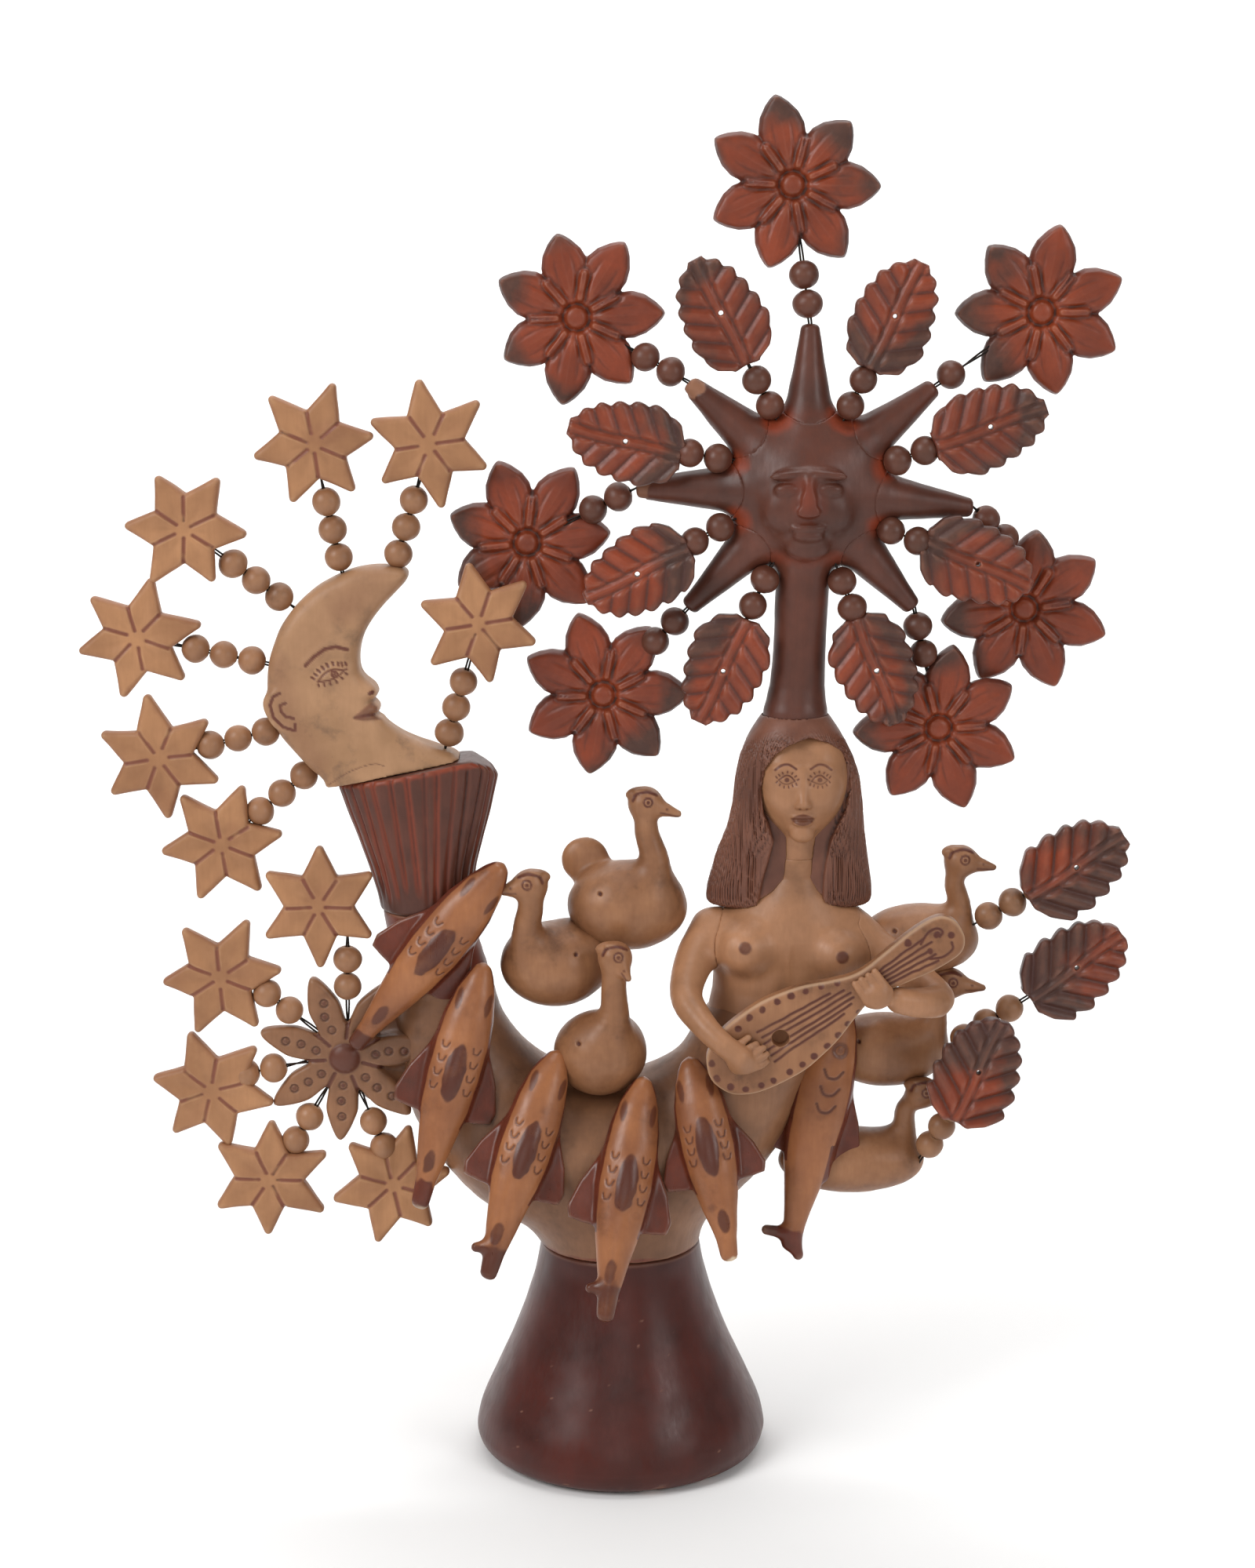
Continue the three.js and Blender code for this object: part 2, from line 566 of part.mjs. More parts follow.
// Flowers on the ray tips: direction from the sun's centre, distance beyond the disc, depth, beads, own
// turn, and the heading of a stem that doesn't run to the flower's middle.
const SUN_FLOWERS = [
  [93.5, 111, 6, 2, 101],
  [144, 105, 6, 2, 105],
  [191.5, 106, 9, 2, 109],
  [226, 110, 8, 2, 105],
  [-61, 102, 2, 2, 80],
  [-29.5, 90, 14, 2, 85, -44],
  [37, 106, 6, 1, 77],
];
// Leaves between the rays: direction of the root and of the leaf, its distance beyond the disc, and how
// far along the wire the beads start.
const SUN_LEAVES = [
  [114.5, 117, 60, 2], [64, 64.5, 57, 2], [158.5, 165, 56.5, 4], [17.5, 19.5, 56.5, 2],
  [201.5, 206, 57, 4], [-28.5, -23.5, 54, 2], [244, 245, 62, 6], [-70, -69, 59, 5],
];
const LEAF_LAYER = -12; // the leaves stand in front of the rays, and the flowers behind
// Stars around the rosette, one per notch: the stem's heading, the star's direction, its distance beyond
// the petals' tips and its turn. The beads start where the gap between two petals is wide enough.
const ROSETTE_STARS = [
  [89, 98, 37, 30],
  [141, 145.5, 32, 5],
  [191, 194, 27, 48],
  [239, 238.5, 32, 26],
  [292, 289, 28, 13],
];
const ROSETTE_START = 0.085 * rosette.radius + 0.53 * bead.radius;
// Leaves on the right birds: where on the breast, how far out, the leaf's heading and depth.
const BIRD_LEAVES = [
  ["right_bird_top", 30, 62, 34, -12],
  ["right_bird_middle", 8, 80, 37, -14],
  ["right_bird_low", 12, 62, 66, -30],
];

function ornamentsOf() {
  const list = [];
  const from = (centre, angle, radius, depth = 0) =>
    centre.clone().add(polar(angle, radius)).add(at(0, 0, depth));
  MOON_STARS.forEach(([rootAngle, angle, out, depth, turn], i) => {
    const root = from(moonCentre, rootAngle, moon.radius);
    const middle = from(moonCentre, angle, moon.radius + out, depth);
    list.push({ name: "moon_star_" + (i + 1), kind: "star", carrier: "moon", root, middle, beads: 3, turn });
  });
  const chin = moonCentre.clone().add(at(0.58 * moon.radius, -0.74 * moon.radius));
  list.push({
    name: "moon_star_7", kind: "star", carrier: "moon", root: chin, beads: 3, start: 6, turn: 41,
    middle: chin.clone().add(at(20, 71, -14)),
  });
  SUN_FLOWERS.forEach(([angle, out, depth, beads, turn, aim], i) => {
    const root = from(sunCentre, ...RAYS[i]);
    const middle = from(sunCentre, angle, sun.radius + out, depth);
    const carrier = "sun_ray_" + (i + 1);
    const name = "sun_flower_" + (i + 1);
    list.push({ name, kind: "flower", carrier, root, middle, beads, start: 1, aim, turn });
  });
  const rim = sun.radius * 0.95;
  SUN_LEAVES.forEach(([rootAngle, angle, out, start], i) => {
    const root = from(sunCentre, rootAngle, rim, -0.3 * sun.depth);
    const middle = from(sunCentre, angle, sun.radius + out, LEAF_LAYER);
    const name = "sun_leaf_" + (i + 1);
    list.push({ name, kind: "leaf", carrier: "sun_face", root, middle, beads: 2, start, turn: angle });
  });
  ROSETTE_STARS.forEach(([aim, angle, out, turn], i) => {
    const notch = rosette.turn + ((i + 0.5) * 360) / rosette.petals;
    const root = from(rosetteCentre, notch, rosette.notch);
    const middle = from(rosetteCentre, angle, rosette.radius + out, -2);
    const name = "rosette_star_" + (i + 1);
    const start = ROSETTE_START;
    list.push({ name, kind: "star", carrier: "rosette", root, middle, beads: 2, start, aim, turn });
  });
  BIRD_LEAVES.forEach(([carrier, where, distance, heading, depth], i) => {
    const { centre, size } = birds[carrier];
    const edge = polar(where, 0.96);
    const root = centre.clone().add(at(edge.x * size[0], edge.z * size[2], -8));
    const middle = from(root, heading, distance, depth);
    const name = "bird_leaf_" + (i + 1);
    list.push({ name, kind: "leaf", carrier, root, middle, beads: 3, start: 3, turn: heading });
  });
  return list;
}

// ---- Assembly: each piece seats against the ones laid before it ----
function pieces() {
  const list = [];
  const lay = (name, material, outside, body = outside) => list.push({ name, material, outside, body });
  lay("foot", maroon, bellOutside, bell);
  lay("crescent", tan, bowlOutside, crescent);
  lay("moon", tan, moonBody);
  lay("collar", umber, collarBody, pleatedCollar);
  lay("rosette", tan, rosetteBody);
  lay("woman", tan, torso);
  lay("sun_face", umber, sunFace);
  RAYS.forEach((each, i) => lay("sun_ray_" + (i + 1), umber, ray(each)));
  lay("hair", umber, hair);
  lay("guitar", tan, guitarBody, guitarPiece);
  lay("right_arm", tan, rightArm);
  lay("left_arm", tan, leftArm);
  for (const [name, shape] of Object.entries(birds)) lay(name, tan, birdBody(shape));
  FISH.forEach((each, i) => lay("fish_" + (i + 1), ochre, fishBody(each)));
  return list;
}

function meshOf(name, solid, material) {
  const { vertProperties, triVerts } = solid.getMesh();
  const geometry = new THREE.BufferGeometry();
  geometry.setAttribute("position", new THREE.BufferAttribute(vertProperties, 3)).setIndex(
    new THREE.BufferAttribute(triVerts, 1));
  geometry.computeVertexNormals();
  const mesh = new THREE.Mesh(geometry, material);
  mesh.name = name;
  return mesh;
}

// Takes from a solid the room that the given pieces fill, with a seam around each.
const clearOf = (solid, others) =>
  others.reduce((rest, other) => rest.subtract(other.outside(SEAM)), solid);

const tree = new THREE.Group();
const ornaments = ornamentsOf();
const laid = pieces();
laid.forEach((piece, i) => {
  let solid = clearOf(piece.body(0), laid.slice(0, i));
  for (const one of ornaments) {
    if (one.carrier === piece.name) solid = solid.subtract(socketCut(one));
  }
  tree.add(meshOf(piece.name, solid, piece.material));
});
for (const one of ornaments) {
  const others = laid.filter((piece) => piece.name !== one.carrier);
  const solid = clearOf(ornament(one), laid).add(clearOf(wireEnd(one), others));
  tree.add(meshOf(one.name, solid, ORNAMENTS[one.kind].material));
}

// The origin is at the middle of the bottom of the whole object's box.
const box = new THREE.Box3().setFromObject(tree);
tree.position.set(-(box.min.x + box.max.x) / 2, -(box.min.y + box.max.y) / 2, -box.min.z);

export default tree;
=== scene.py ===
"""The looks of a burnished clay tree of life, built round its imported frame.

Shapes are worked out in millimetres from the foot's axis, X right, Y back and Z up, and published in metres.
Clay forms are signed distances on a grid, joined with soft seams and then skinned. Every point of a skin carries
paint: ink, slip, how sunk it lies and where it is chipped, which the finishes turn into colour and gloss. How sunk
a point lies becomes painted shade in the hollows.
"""

import functools
import itertools
import math

import bpy
import numpy as np
import openvdb
from mathutils import Matrix, Vector


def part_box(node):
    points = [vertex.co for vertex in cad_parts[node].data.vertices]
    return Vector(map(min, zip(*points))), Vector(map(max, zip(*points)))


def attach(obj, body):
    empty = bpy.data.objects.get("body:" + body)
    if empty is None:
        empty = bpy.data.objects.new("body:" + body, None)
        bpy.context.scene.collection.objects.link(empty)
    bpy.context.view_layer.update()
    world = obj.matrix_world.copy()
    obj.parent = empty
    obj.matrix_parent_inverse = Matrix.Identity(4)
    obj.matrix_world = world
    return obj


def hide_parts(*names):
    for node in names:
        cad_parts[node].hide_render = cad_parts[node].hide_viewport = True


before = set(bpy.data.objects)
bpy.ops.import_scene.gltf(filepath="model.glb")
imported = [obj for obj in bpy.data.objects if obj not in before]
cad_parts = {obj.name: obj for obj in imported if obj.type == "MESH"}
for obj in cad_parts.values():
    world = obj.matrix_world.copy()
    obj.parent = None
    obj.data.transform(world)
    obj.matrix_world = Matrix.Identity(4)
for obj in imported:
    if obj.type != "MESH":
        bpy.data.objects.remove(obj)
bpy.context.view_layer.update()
foot_low, foot_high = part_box("foot")
AXIS = 500.0 * np.array([foot_low[0] + foot_high[0], foot_low[1] + foot_high[1], 2 * foot_low[2]])
FAR = 999.0  # farther than any clay
SEAM = -0.2  # luted pieces bite into each other, so that no gap shows
XZ = [0, 2]

# ---------------------------------------------------------------- noise and small maths
LATTICE = np.random.default_rng(11).random((32, 32, 32)).astype(np.float32)


def vec(*values):
    return np.array(values, float)


def polar(angle, radius, y=0.0):
    return vec(radius * math.cos(math.radians(angle)), y, radius * math.sin(math.radians(angle)))


def grain(points, size, seed=0.0):
    """Smooth noise between -1 and 1, with cells of that size in mm."""
    p = points / np.asarray(size, float) + seed * 7.31
    cell = np.floor(p).astype(int)
    f = p - cell
    f = f * f * (3 - 2 * f)
    total = np.zeros(len(points))
    for corner in itertools.product((0, 1), repeat=3):
        share = np.prod(np.where(corner, f, 1 - f), axis=1)
        i = (cell + corner) % len(LATTICE)
        total += share * LATTICE[i[:, 0], i[:, 1], i[:, 2]]
    return 2 * total - 1


def ramp(values, start, end):
    """0 before start, 1 after end, smooth between."""
    t = np.clip((values - start) / (end - start), 0, 1)
    return t * t * (3 - 2 * t)


def fade(values, start, end):
    return 1 - ramp(values, start, end)


def swell(distance, width):
    """1 at no distance, falling away like a bell."""
    return np.exp(-((distance / width) ** 2))


def ring(distance, radius, inner, outer):
    return fade(np.abs(distance - radius), inner, outer)


def most(*masks):
    return functools.reduce(np.maximum, masks)


def soft_min(a, b, blend):
    if blend <= 0:
        return np.minimum(a, b)
    h = np.maximum(blend - np.abs(a - b), 0) / blend
    return np.minimum(a, b) - h * h * blend * 0.25


def soft_max(a, b, blend):
    return -soft_min(-a, -b, blend)


def smooth_path(points, count, closed=False):
    """A Catmull-Rom curve through points, as count evenly spaced points."""
    p = np.array(points, float)
    if closed:
        p = np.vstack([p[-1:], p, p[:2]])
    else:
        p = np.vstack([2 * p[0] - p[1], p, 2 * p[-1] - p[-2]])
    run = []
    for i in range(1, len(p) - 2):
        t = np.linspace(0, 1, 24, endpoint=False)[:, None]
        a, b, c, d = p[i - 1], p[i], p[i + 1], p[i + 2]
        run.append(0.5 * (2 * b + (c - a) * t + (2 * a - 5 * b + 4 * c - d) * t**2
                          + (3 * b - a - 3 * c + d) * t**3))
    run = np.vstack(run + [p[-2:-1]])
    length = np.concatenate([[0], np.cumsum(np.linalg.norm(np.diff(run, axis=0), axis=1))])
    want = np.linspace(0, length[-1], count, endpoint=not closed)
    return np.stack([np.interp(want, length, run[:, k]) for k in range(run.shape[1])], 1)


def near(flat, path):
    """Distance of 2-D points from a polyline."""
    path = np.array(path, float)
    if len(path) == 1:
        return np.linalg.norm(flat - path[0], axis=-1)
    best = np.full(flat.shape[:-1], FAR)
    for a, b in zip(path[:-1], path[1:]):
        e = b - a
        t = np.clip(((flat - a) @ e) / max(e @ e, 1e-9), 0, 1)
        best = np.minimum(best, np.linalg.norm(flat - a - t[..., None] * e, axis=-1))
    return best


def drawn(flat, paths, width, soft=0.35):
    """1 on strokes of that width along paths, 0 off them."""
    return most(*(fade(near(flat, path), width / 2 - soft, width / 2 + soft) for path in paths))


def outline_distance(u, v, corners):
    """Signed distance of 2-D points from a closed outline, negative inside."""
    best = np.full(np.broadcast(u, v).shape, FAR**2)
    inside = np.zeros(best.shape, bool)
    for a, b in zip(corners, np.roll(corners, -1, axis=0)):
        e = b - a
        t = np.clip(((u - a[0]) * e[0] + (v - a[1]) * e[1]) / max(e @ e, 1e-9), 0, 1)
        best = np.minimum(best, (u - a[0] - t * e[0]) ** 2 + (v - a[1] - t * e[1]) ** 2)
        if a[1] != b[1]:
            inside ^= ((a[1] <= v) != (b[1] <= v)) & (u < e[0] * (v - a[1]) / e[1] + a[0])
    return np.where(inside, -1, 1) * np.sqrt(best)


# ---------------------------------------------------------------- clay on a grid
def egg(centre, radii, turn=0.0):
    """An ellipsoid, turned about Y."""
    c, r = vec(*centre), vec(*radii)
    ct, st = math.cos(math.radians(turn)), math.sin(math.radians(turn))

    def distance(x, y, z):
        px, py, pz = x - c[0], y - c[1], z - c[2]
        u, v = px * ct + pz * st, pz * ct - px * st
        share = np.sqrt((u / r[0]) ** 2 + (py / r[1]) ** 2 + (v / r[2]) ** 2)
        slope = np.sqrt((u / r[0] ** 2) ** 2 + (py / r[1] ** 2) ** 2 + (v / r[2] ** 2) ** 2)
        return share * (share - 1) / np.maximum(slope, 1e-6)

    return distance, c - r.max(), c + r.max()


def cone(a, b, ra, rb):
    """A bar with round ends and a radius at each."""
    a, b = vec(*a), vec(*b)
    e = b - a

    def distance(x, y, z):
        px, py, pz = x - a[0], y - a[1], z - a[2]
        t = np.clip((px * e[0] + py * e[1] + pz * e[2]) / max(e @ e, 1e-9), 0, 1)
        reach = np.sqrt((px - t * e[0]) ** 2 + (py - t * e[1]) ** 2 + (pz - t * e[2]) ** 2)
        return reach - (ra + (rb - ra) * t)

    big = max(ra, rb)
    return distance, np.minimum(a, b) - big, np.maximum(a, b) + big


class Clay:
    """A lump of clay as signed distances, in mm, on a grid."""

    def __init__(self, low, high, cell, reach=14.0):
        self.low, self.cell, self.reach = np.array(low, float), cell, reach
        self.axes = [np.arange(a, b + cell, cell, dtype=np.float32) for a, b in zip(low, high)]
        self.field = np.full([len(a) for a in self.axes], FAR, np.float32)

    def blank(self):
        other = Clay.__new__(Clay)
        other.low, other.cell, other.reach, other.axes = self.low, self.cell, self.reach, self.axes
        other.field = np.full(self.field.shape, FAR, np.float32)
        return other

    def grids(self):
        x, y, z = self.axes
        return x[:, None, None], y[None, :, None], z[None, None, :]

    def plane(self):
        return self.axes[0][:, None], self.axes[1][None, :]

    def window(self, low, high, reach):
        part = tuple(slice(int(np.searchsorted(a, lo - reach)), int(np.searchsorted(a, hi + reach)))
                     for a, lo, hi in zip(self.axes, low, high))
        x, y, z = (a[s] for a, s in zip(self.axes, part))
        return part, (x[:, None, None], y[None, :, None], z[None, None, :])

    def add(self, shape, blend=0.0):
        distance, low, high = shape
        part, grids = self.window(low, high, max(self.reach, blend))
        self.field[part] = soft_min(self.field[part], distance(*grids), blend)
        return self

    def dent(self, shape, blend=0.0):
        distance, low, high = shape
        part, grids = self.window(low, high, blend + 4 * self.cell)
        self.field[part] = soft_max(self.field[part], -distance(*grids), blend)
        return self

    def features(self, middle, rows, sides=(1,)):
        """Adds or dents eggs, each row giving its place from the middle, radii, blend and turn."""
        for side in sides:
            for work, (x, y, z), radii, blend, turn in rows:
                work(self, egg(middle + vec(side * x, y, z), radii, side * turn), blend)
        return self

    def stroke(self, points, radii, blend=0.0, steps=0):
        """A bar through points, with radii spread evenly along it."""
        points = smooth_path(points, steps) if steps else np.array(points, float)
        sizes = np.interp(np.linspace(0, 1, len(points)), np.linspace(0, 1, len(radii)), radii)
        part = self.blank()
        for i in range(len(points) - 1):
            part.add(cone(points[i], points[i + 1], sizes[i], sizes[i + 1]))
        return self.merge(part, blend)

    def merge(self, other, blend=0.0):
        self.field = soft_min(self.field, other.field, blend).astype(np.float32)
        return self

    def keep(self, distance, blend=0.0):
        """Keeps what lies where distance is negative."""
        self.field = soft_max(self.field, distance, blend).astype(np.float32)
        return self

    def loft(self, levels, middles, depths, halves, halfdepths, cap=3.0, blend=0.0):
        """An upright form with an oval section at each level: its X and Y middle and half sizes."""
        x, y, z = self.grids()
        cx, cy, wx, wy = (np.interp(z, levels, v) for v in (middles, depths, halves, halfdepths))
        q = np.sqrt(((x - cx) / wx) ** 2 + ((y - cy) / wy) ** 2)
        d = (q - 1) * np.minimum(wx, wy)
        d = soft_max(d, np.maximum(levels[0] - z, z - levels[-1]), cap)
        self.field = soft_min(self.field, d, blend).astype(np.float32)
        return self

    def press(self, edge, top, under, rim):
        """Fills a slab inside an outline, up to a top and down to an underside, with rounded edges."""
        top, under = (np.broadcast_to(np.asarray(level, getattr(level, "dtype", np.float32)), edge.shape)
                      for level in (top, under))
        w = self.axes[2]
        d = soft_max(edge[:, :, None], w - top[:, :, None], rim)
        self.field = soft_max(d, -w - under[:, :, None], rim).astype(np.float32)
        return self

    def under(self, layer, points):
        """A slab layer's value under each point."""
        i, j = (np.clip(np.rint((points[:, k] - axis[0]) / (axis[1] - axis[0])).astype(int), 0, len(axis) - 1)
                for k, axis in enumerate(self.axes[:2]))
        return layer[i, j]

    def skin(self):
        """Points, outward quads and normals of the surface."""
        band = 3 * self.cell
        grid = openvdb.FloatGrid(band)
        field = np.pad(np.clip(self.field, -band, band), 1, constant_values=band)
        grid.copyFromArray(np.ascontiguousarray(field, dtype=np.float32))
        points, quads = grid.convertToQuads(0.0)
        points = self.low + (np.array(points, float) - 1) * self.cell
        quads = np.array(quads, int)
        a, b, c, d = (points[quads[:, i]] for i in range(4))
        if np.einsum("ij,ij->", np.cross(c - a, d - b), (a + b + c + d) / 4 - points.mean(0)) < 0:
            quads = quads[:, ::-1]
        points = relaxed(points, quads, 2)
        return points, quads, normals_of(points, quads)


def slab(reach_u, reach_v, half, cell):
    return Clay((-reach_u, -reach_v, -half), (reach_u, reach_v, half), cell, 6)


def family(parts, blend):
    """Parts on one grid joined by soft seams, each cut back to its own share."""
    first, *rest = parts.values()
    whole = first.blank().merge(first)
    for part in rest:
        whole.merge(part, blend)
    shares = {}
    for name, part in parts.items():
        others = np.minimum.reduce([p.field for n, p in parts.items() if n != name])
        share = shares[name] = part.blank()
        share.field = np.maximum(whole.field, (part.field - others) / 2 + SEAM / 2).astype(np.float32)
    return shares


# ---------------------------------------------------------------- meshes
def relaxed(points, quads, rounds):
    """Each point moved halfway to the mean of its neighbours, so many times."""
    ways = [(quads[:, i], quads[:, j % 4]) for k in range(4) for i, j in ((k, k + 1), ((k + 1) % 4, k))]
    count = sum(np.bincount(here, minlength=len(points)) for here, _ in ways)
    for _ in range(rounds):
        total = np.zeros_like(points)
        for here, there in ways:
            for k in range(3):
                total[:, k] += np.bincount(here, points[there, k], len(points))
        points = 0.5 * points + 0.5 * total / np.maximum(count, 1)[:, None]
    return points


def normals_of(points, quads):
    a, b, c, d = (points[quads[:, i]] for i in range(4))
    face = np.cross(c - a, d - b)
    total = np.zeros_like(points)
    for i in range(4):
        for k in range(3):
            total[:, k] += np.bincount(quads[:, i], face[:, k], len(points))
    return total / np.maximum(np.linalg.norm(total, axis=1), 1e-9)[:, None]


def raised(points, normal, height):
    return points + normal * height[:, None]


# The finishes turn this into painted shade in the hollows and pale wear on sharp edges.
def hollows(points, quads, size):
    """0.5 on flat clay, towards 1 in hollows and 0 on sharp edges."""
    sunk = np.einsum("ij,ij->i", relaxed(points, quads, 8) - points, normals_of(points, quads))
    return np.clip(0.5 + 0.5 * sunk / size, 0, 1)


def swept(rings):
    """Quads round a stack of rings of equal length, the last joined to the first."""
    count, sides = rings.shape[:2]
    i, j = np.meshgrid(np.arange(count), np.arange(sides), indexing="ij")
    nxt, side = (i + 1) % count, (j + 1) % sides
    quads = np.stack([i * sides + j, i * sides + side, nxt * sides + side, nxt * sides + j], -1)
    return rings.reshape(-1, 3), quads.reshape(-1, 4)


def turned(profile, sides):
    """A closed [radius, height] profile turned round Z, with its faces outward."""
    angle = np.linspace(0, 2 * math.pi, sides, endpoint=False)
    r, h = np.array(profile, float).T
    points, quads = swept(np.stack([r[:, None] * np.cos(angle), r[:, None] * np.sin(angle),
                                    np.repeat(h[:, None], sides, 1)], -1))
    if (normals_of(points, quads) * points)[:, :2].sum() < 0:
        quads = quads[:, ::-1]
    return points, quads


def strand(path, radius):
    """A round wire along path with eight sides, closed at both ends."""
    ahead = np.gradient(path, axis=0)
    ahead /= np.linalg.norm(ahead, axis=1)[:, None]
    side = np.cross(ahead, vec(0.13, 0.97, 0.21))
    side /= np.linalg.norm(side, axis=1)[:, None]
    up = np.cross(ahead, side)
    angle = np.linspace(0, 2 * math.pi, 8, endpoint=False)
    points, quads = swept(path[:, None] + radius * (np.cos(angle)[:, None] * side[:, None]
                                                    + np.sin(angle)[:, None] * up[:, None]))
    last = (len(path) - 1) * 8
    start = [[0, 7, 6, 1], [1, 6, 5, 2], [2, 5, 4, 3]]
    end = [[last + i for i in reversed(q)] for q in start]
    return points, np.vstack([quads[:last], start, end])


def at_place(points, middle, turn):
    """Local (along, up, out) points, turned in the front plane; out faces the front."""
    u, v = polar(turn, 1), polar(turn + 90, 1)
    return middle + points[:, :1] * u + points[:, 1:2] * v + points[:, 2:3] * vec(0, -1, 0)


def publish(name, points, quads, look, node=None, ink=0.0, slip=0.0, chip=0.0, size=0.5, sharp=None):
    """Makes one piece: its mesh, painted areas, finish and place on the frame."""
    count = len(points)
    mesh = bpy.data.meshes.new(name)
    mesh.vertices.add(count)
    mesh.vertices.foreach_set("co", ((points + AXIS) / 1000).astype(np.float32).ravel())
    mesh.loops.add(quads.size)
    mesh.loops.foreach_set("vertex_index", quads.astype(np.int32).ravel())
    mesh.polygons.add(len(quads))
    mesh.polygons.foreach_set("loop_start", np.arange(len(quads), dtype=np.int32) * 4)
    mesh.update(calc_edges=True)
    mesh.validate()
    mesh.shade_smooth()
    if sharp:
        mesh.set_sharp_from_angle(angle=math.radians(sharp))
    paint = mesh.attributes.new("paint", "FLOAT_COLOR", "POINT")
    # The third channel, from hollows, becomes painted shade in the finishes.
    channels = (ink, slip, hollows(points, quads, size), chip)
    channels = np.stack([np.broadcast_to(np.clip(v, 0, 1), count) for v in channels], 1)
    paint.data.foreach_set("color", channels.astype(np.float32).ravel())
    mesh.materials.append(look.material)
    piece = bpy.data.objects.new(name, mesh)
    bpy.context.scene.collection.objects.link(piece)
    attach(piece, "root")
    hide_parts(node or name)


# ---------------------------------------------------------------- finishes
def colour(code):
    """A hex colour as linear light."""
    channel = [int(code[i : i + 2], 16) / 255 for i in (0, 2, 4)]
    return [c / 12.92 if c <= 0.04045 else ((c + 0.055) / 1.055) ** 2.4 for c in channel] + [1.0]


class Look:
    """A small builder of node materials."""

    def __init__(self, name, slot=None):
        self.slot = slot
        self.material = bpy.data.materials.new(name)
        self.material.use_nodes = True
        self.tree = self.material.node_tree
        self.shader = self.tree.nodes["Principled BSDF"]
        self.shader.inputs["Specular IOR Level"].default_value = 0.38
        self.coords = self.node("ShaderNodeTexCoord").outputs["Object"]

    def node(self, kind, inputs=(), **settings):
        made = self.tree.nodes.new(kind)
        for key, value in settings.items():
            setattr(made, key, value)
        for key, value in dict(inputs).items():
            self.feed(made.inputs[key], value)
        return made

    def feed(self, socket, value):
        if isinstance(value, bpy.types.NodeSocket):
            self.tree.links.new(value, socket)
        else:
            socket.default_value = value

    def noise(self, scale, detail=3.0, rough=0.55, stretch=(1, 1, 1)):
        coords = self.coords
        if stretch != (1, 1, 1):
            coords = self.node("ShaderNodeMapping", {"Vector": coords, "Scale": stretch}).outputs[0]
        made = self.node("ShaderNodeTexNoise",
                         {"Vector": coords, "Scale": scale, "Detail": detail, "Roughness": rough})
        return made.outputs["Fac"]

    def span(self, value, low, high, start=0.0, end=1.0):
        return self.node("ShaderNodeMapRange", {"Value": value, "From Min": low, "From Max": high,
                                                "To Min": start, "To Max": end}).outputs[0]

    def mix(self, share, a, b, data_type="RGBA"):
        made = self.node("ShaderNodeMix", data_type=data_type)
        first, result = {"RGBA": (6, 2), "FLOAT": (2, 0)}[data_type]
        for index, value in ((0, share), (first, a), (first + 1, b)):
            self.feed(made.inputs[index], value)
        return made.outputs[result]

    def maths(self, operation, a, b):
        return self.node("ShaderNodeMath", {0: a, 1: b}, operation=operation).outputs[0]

    def finish(self, tone, rough, strength, depth, height):
        bump = self.node("ShaderNodeBump", {"Strength": strength, "Distance": depth, "Height": height})
        for socket, value in (("Base Color", tone), ("Roughness", rough), ("Normal", bump.outputs[0])):
            self.feed(self.shader.inputs[socket], value)
        return self


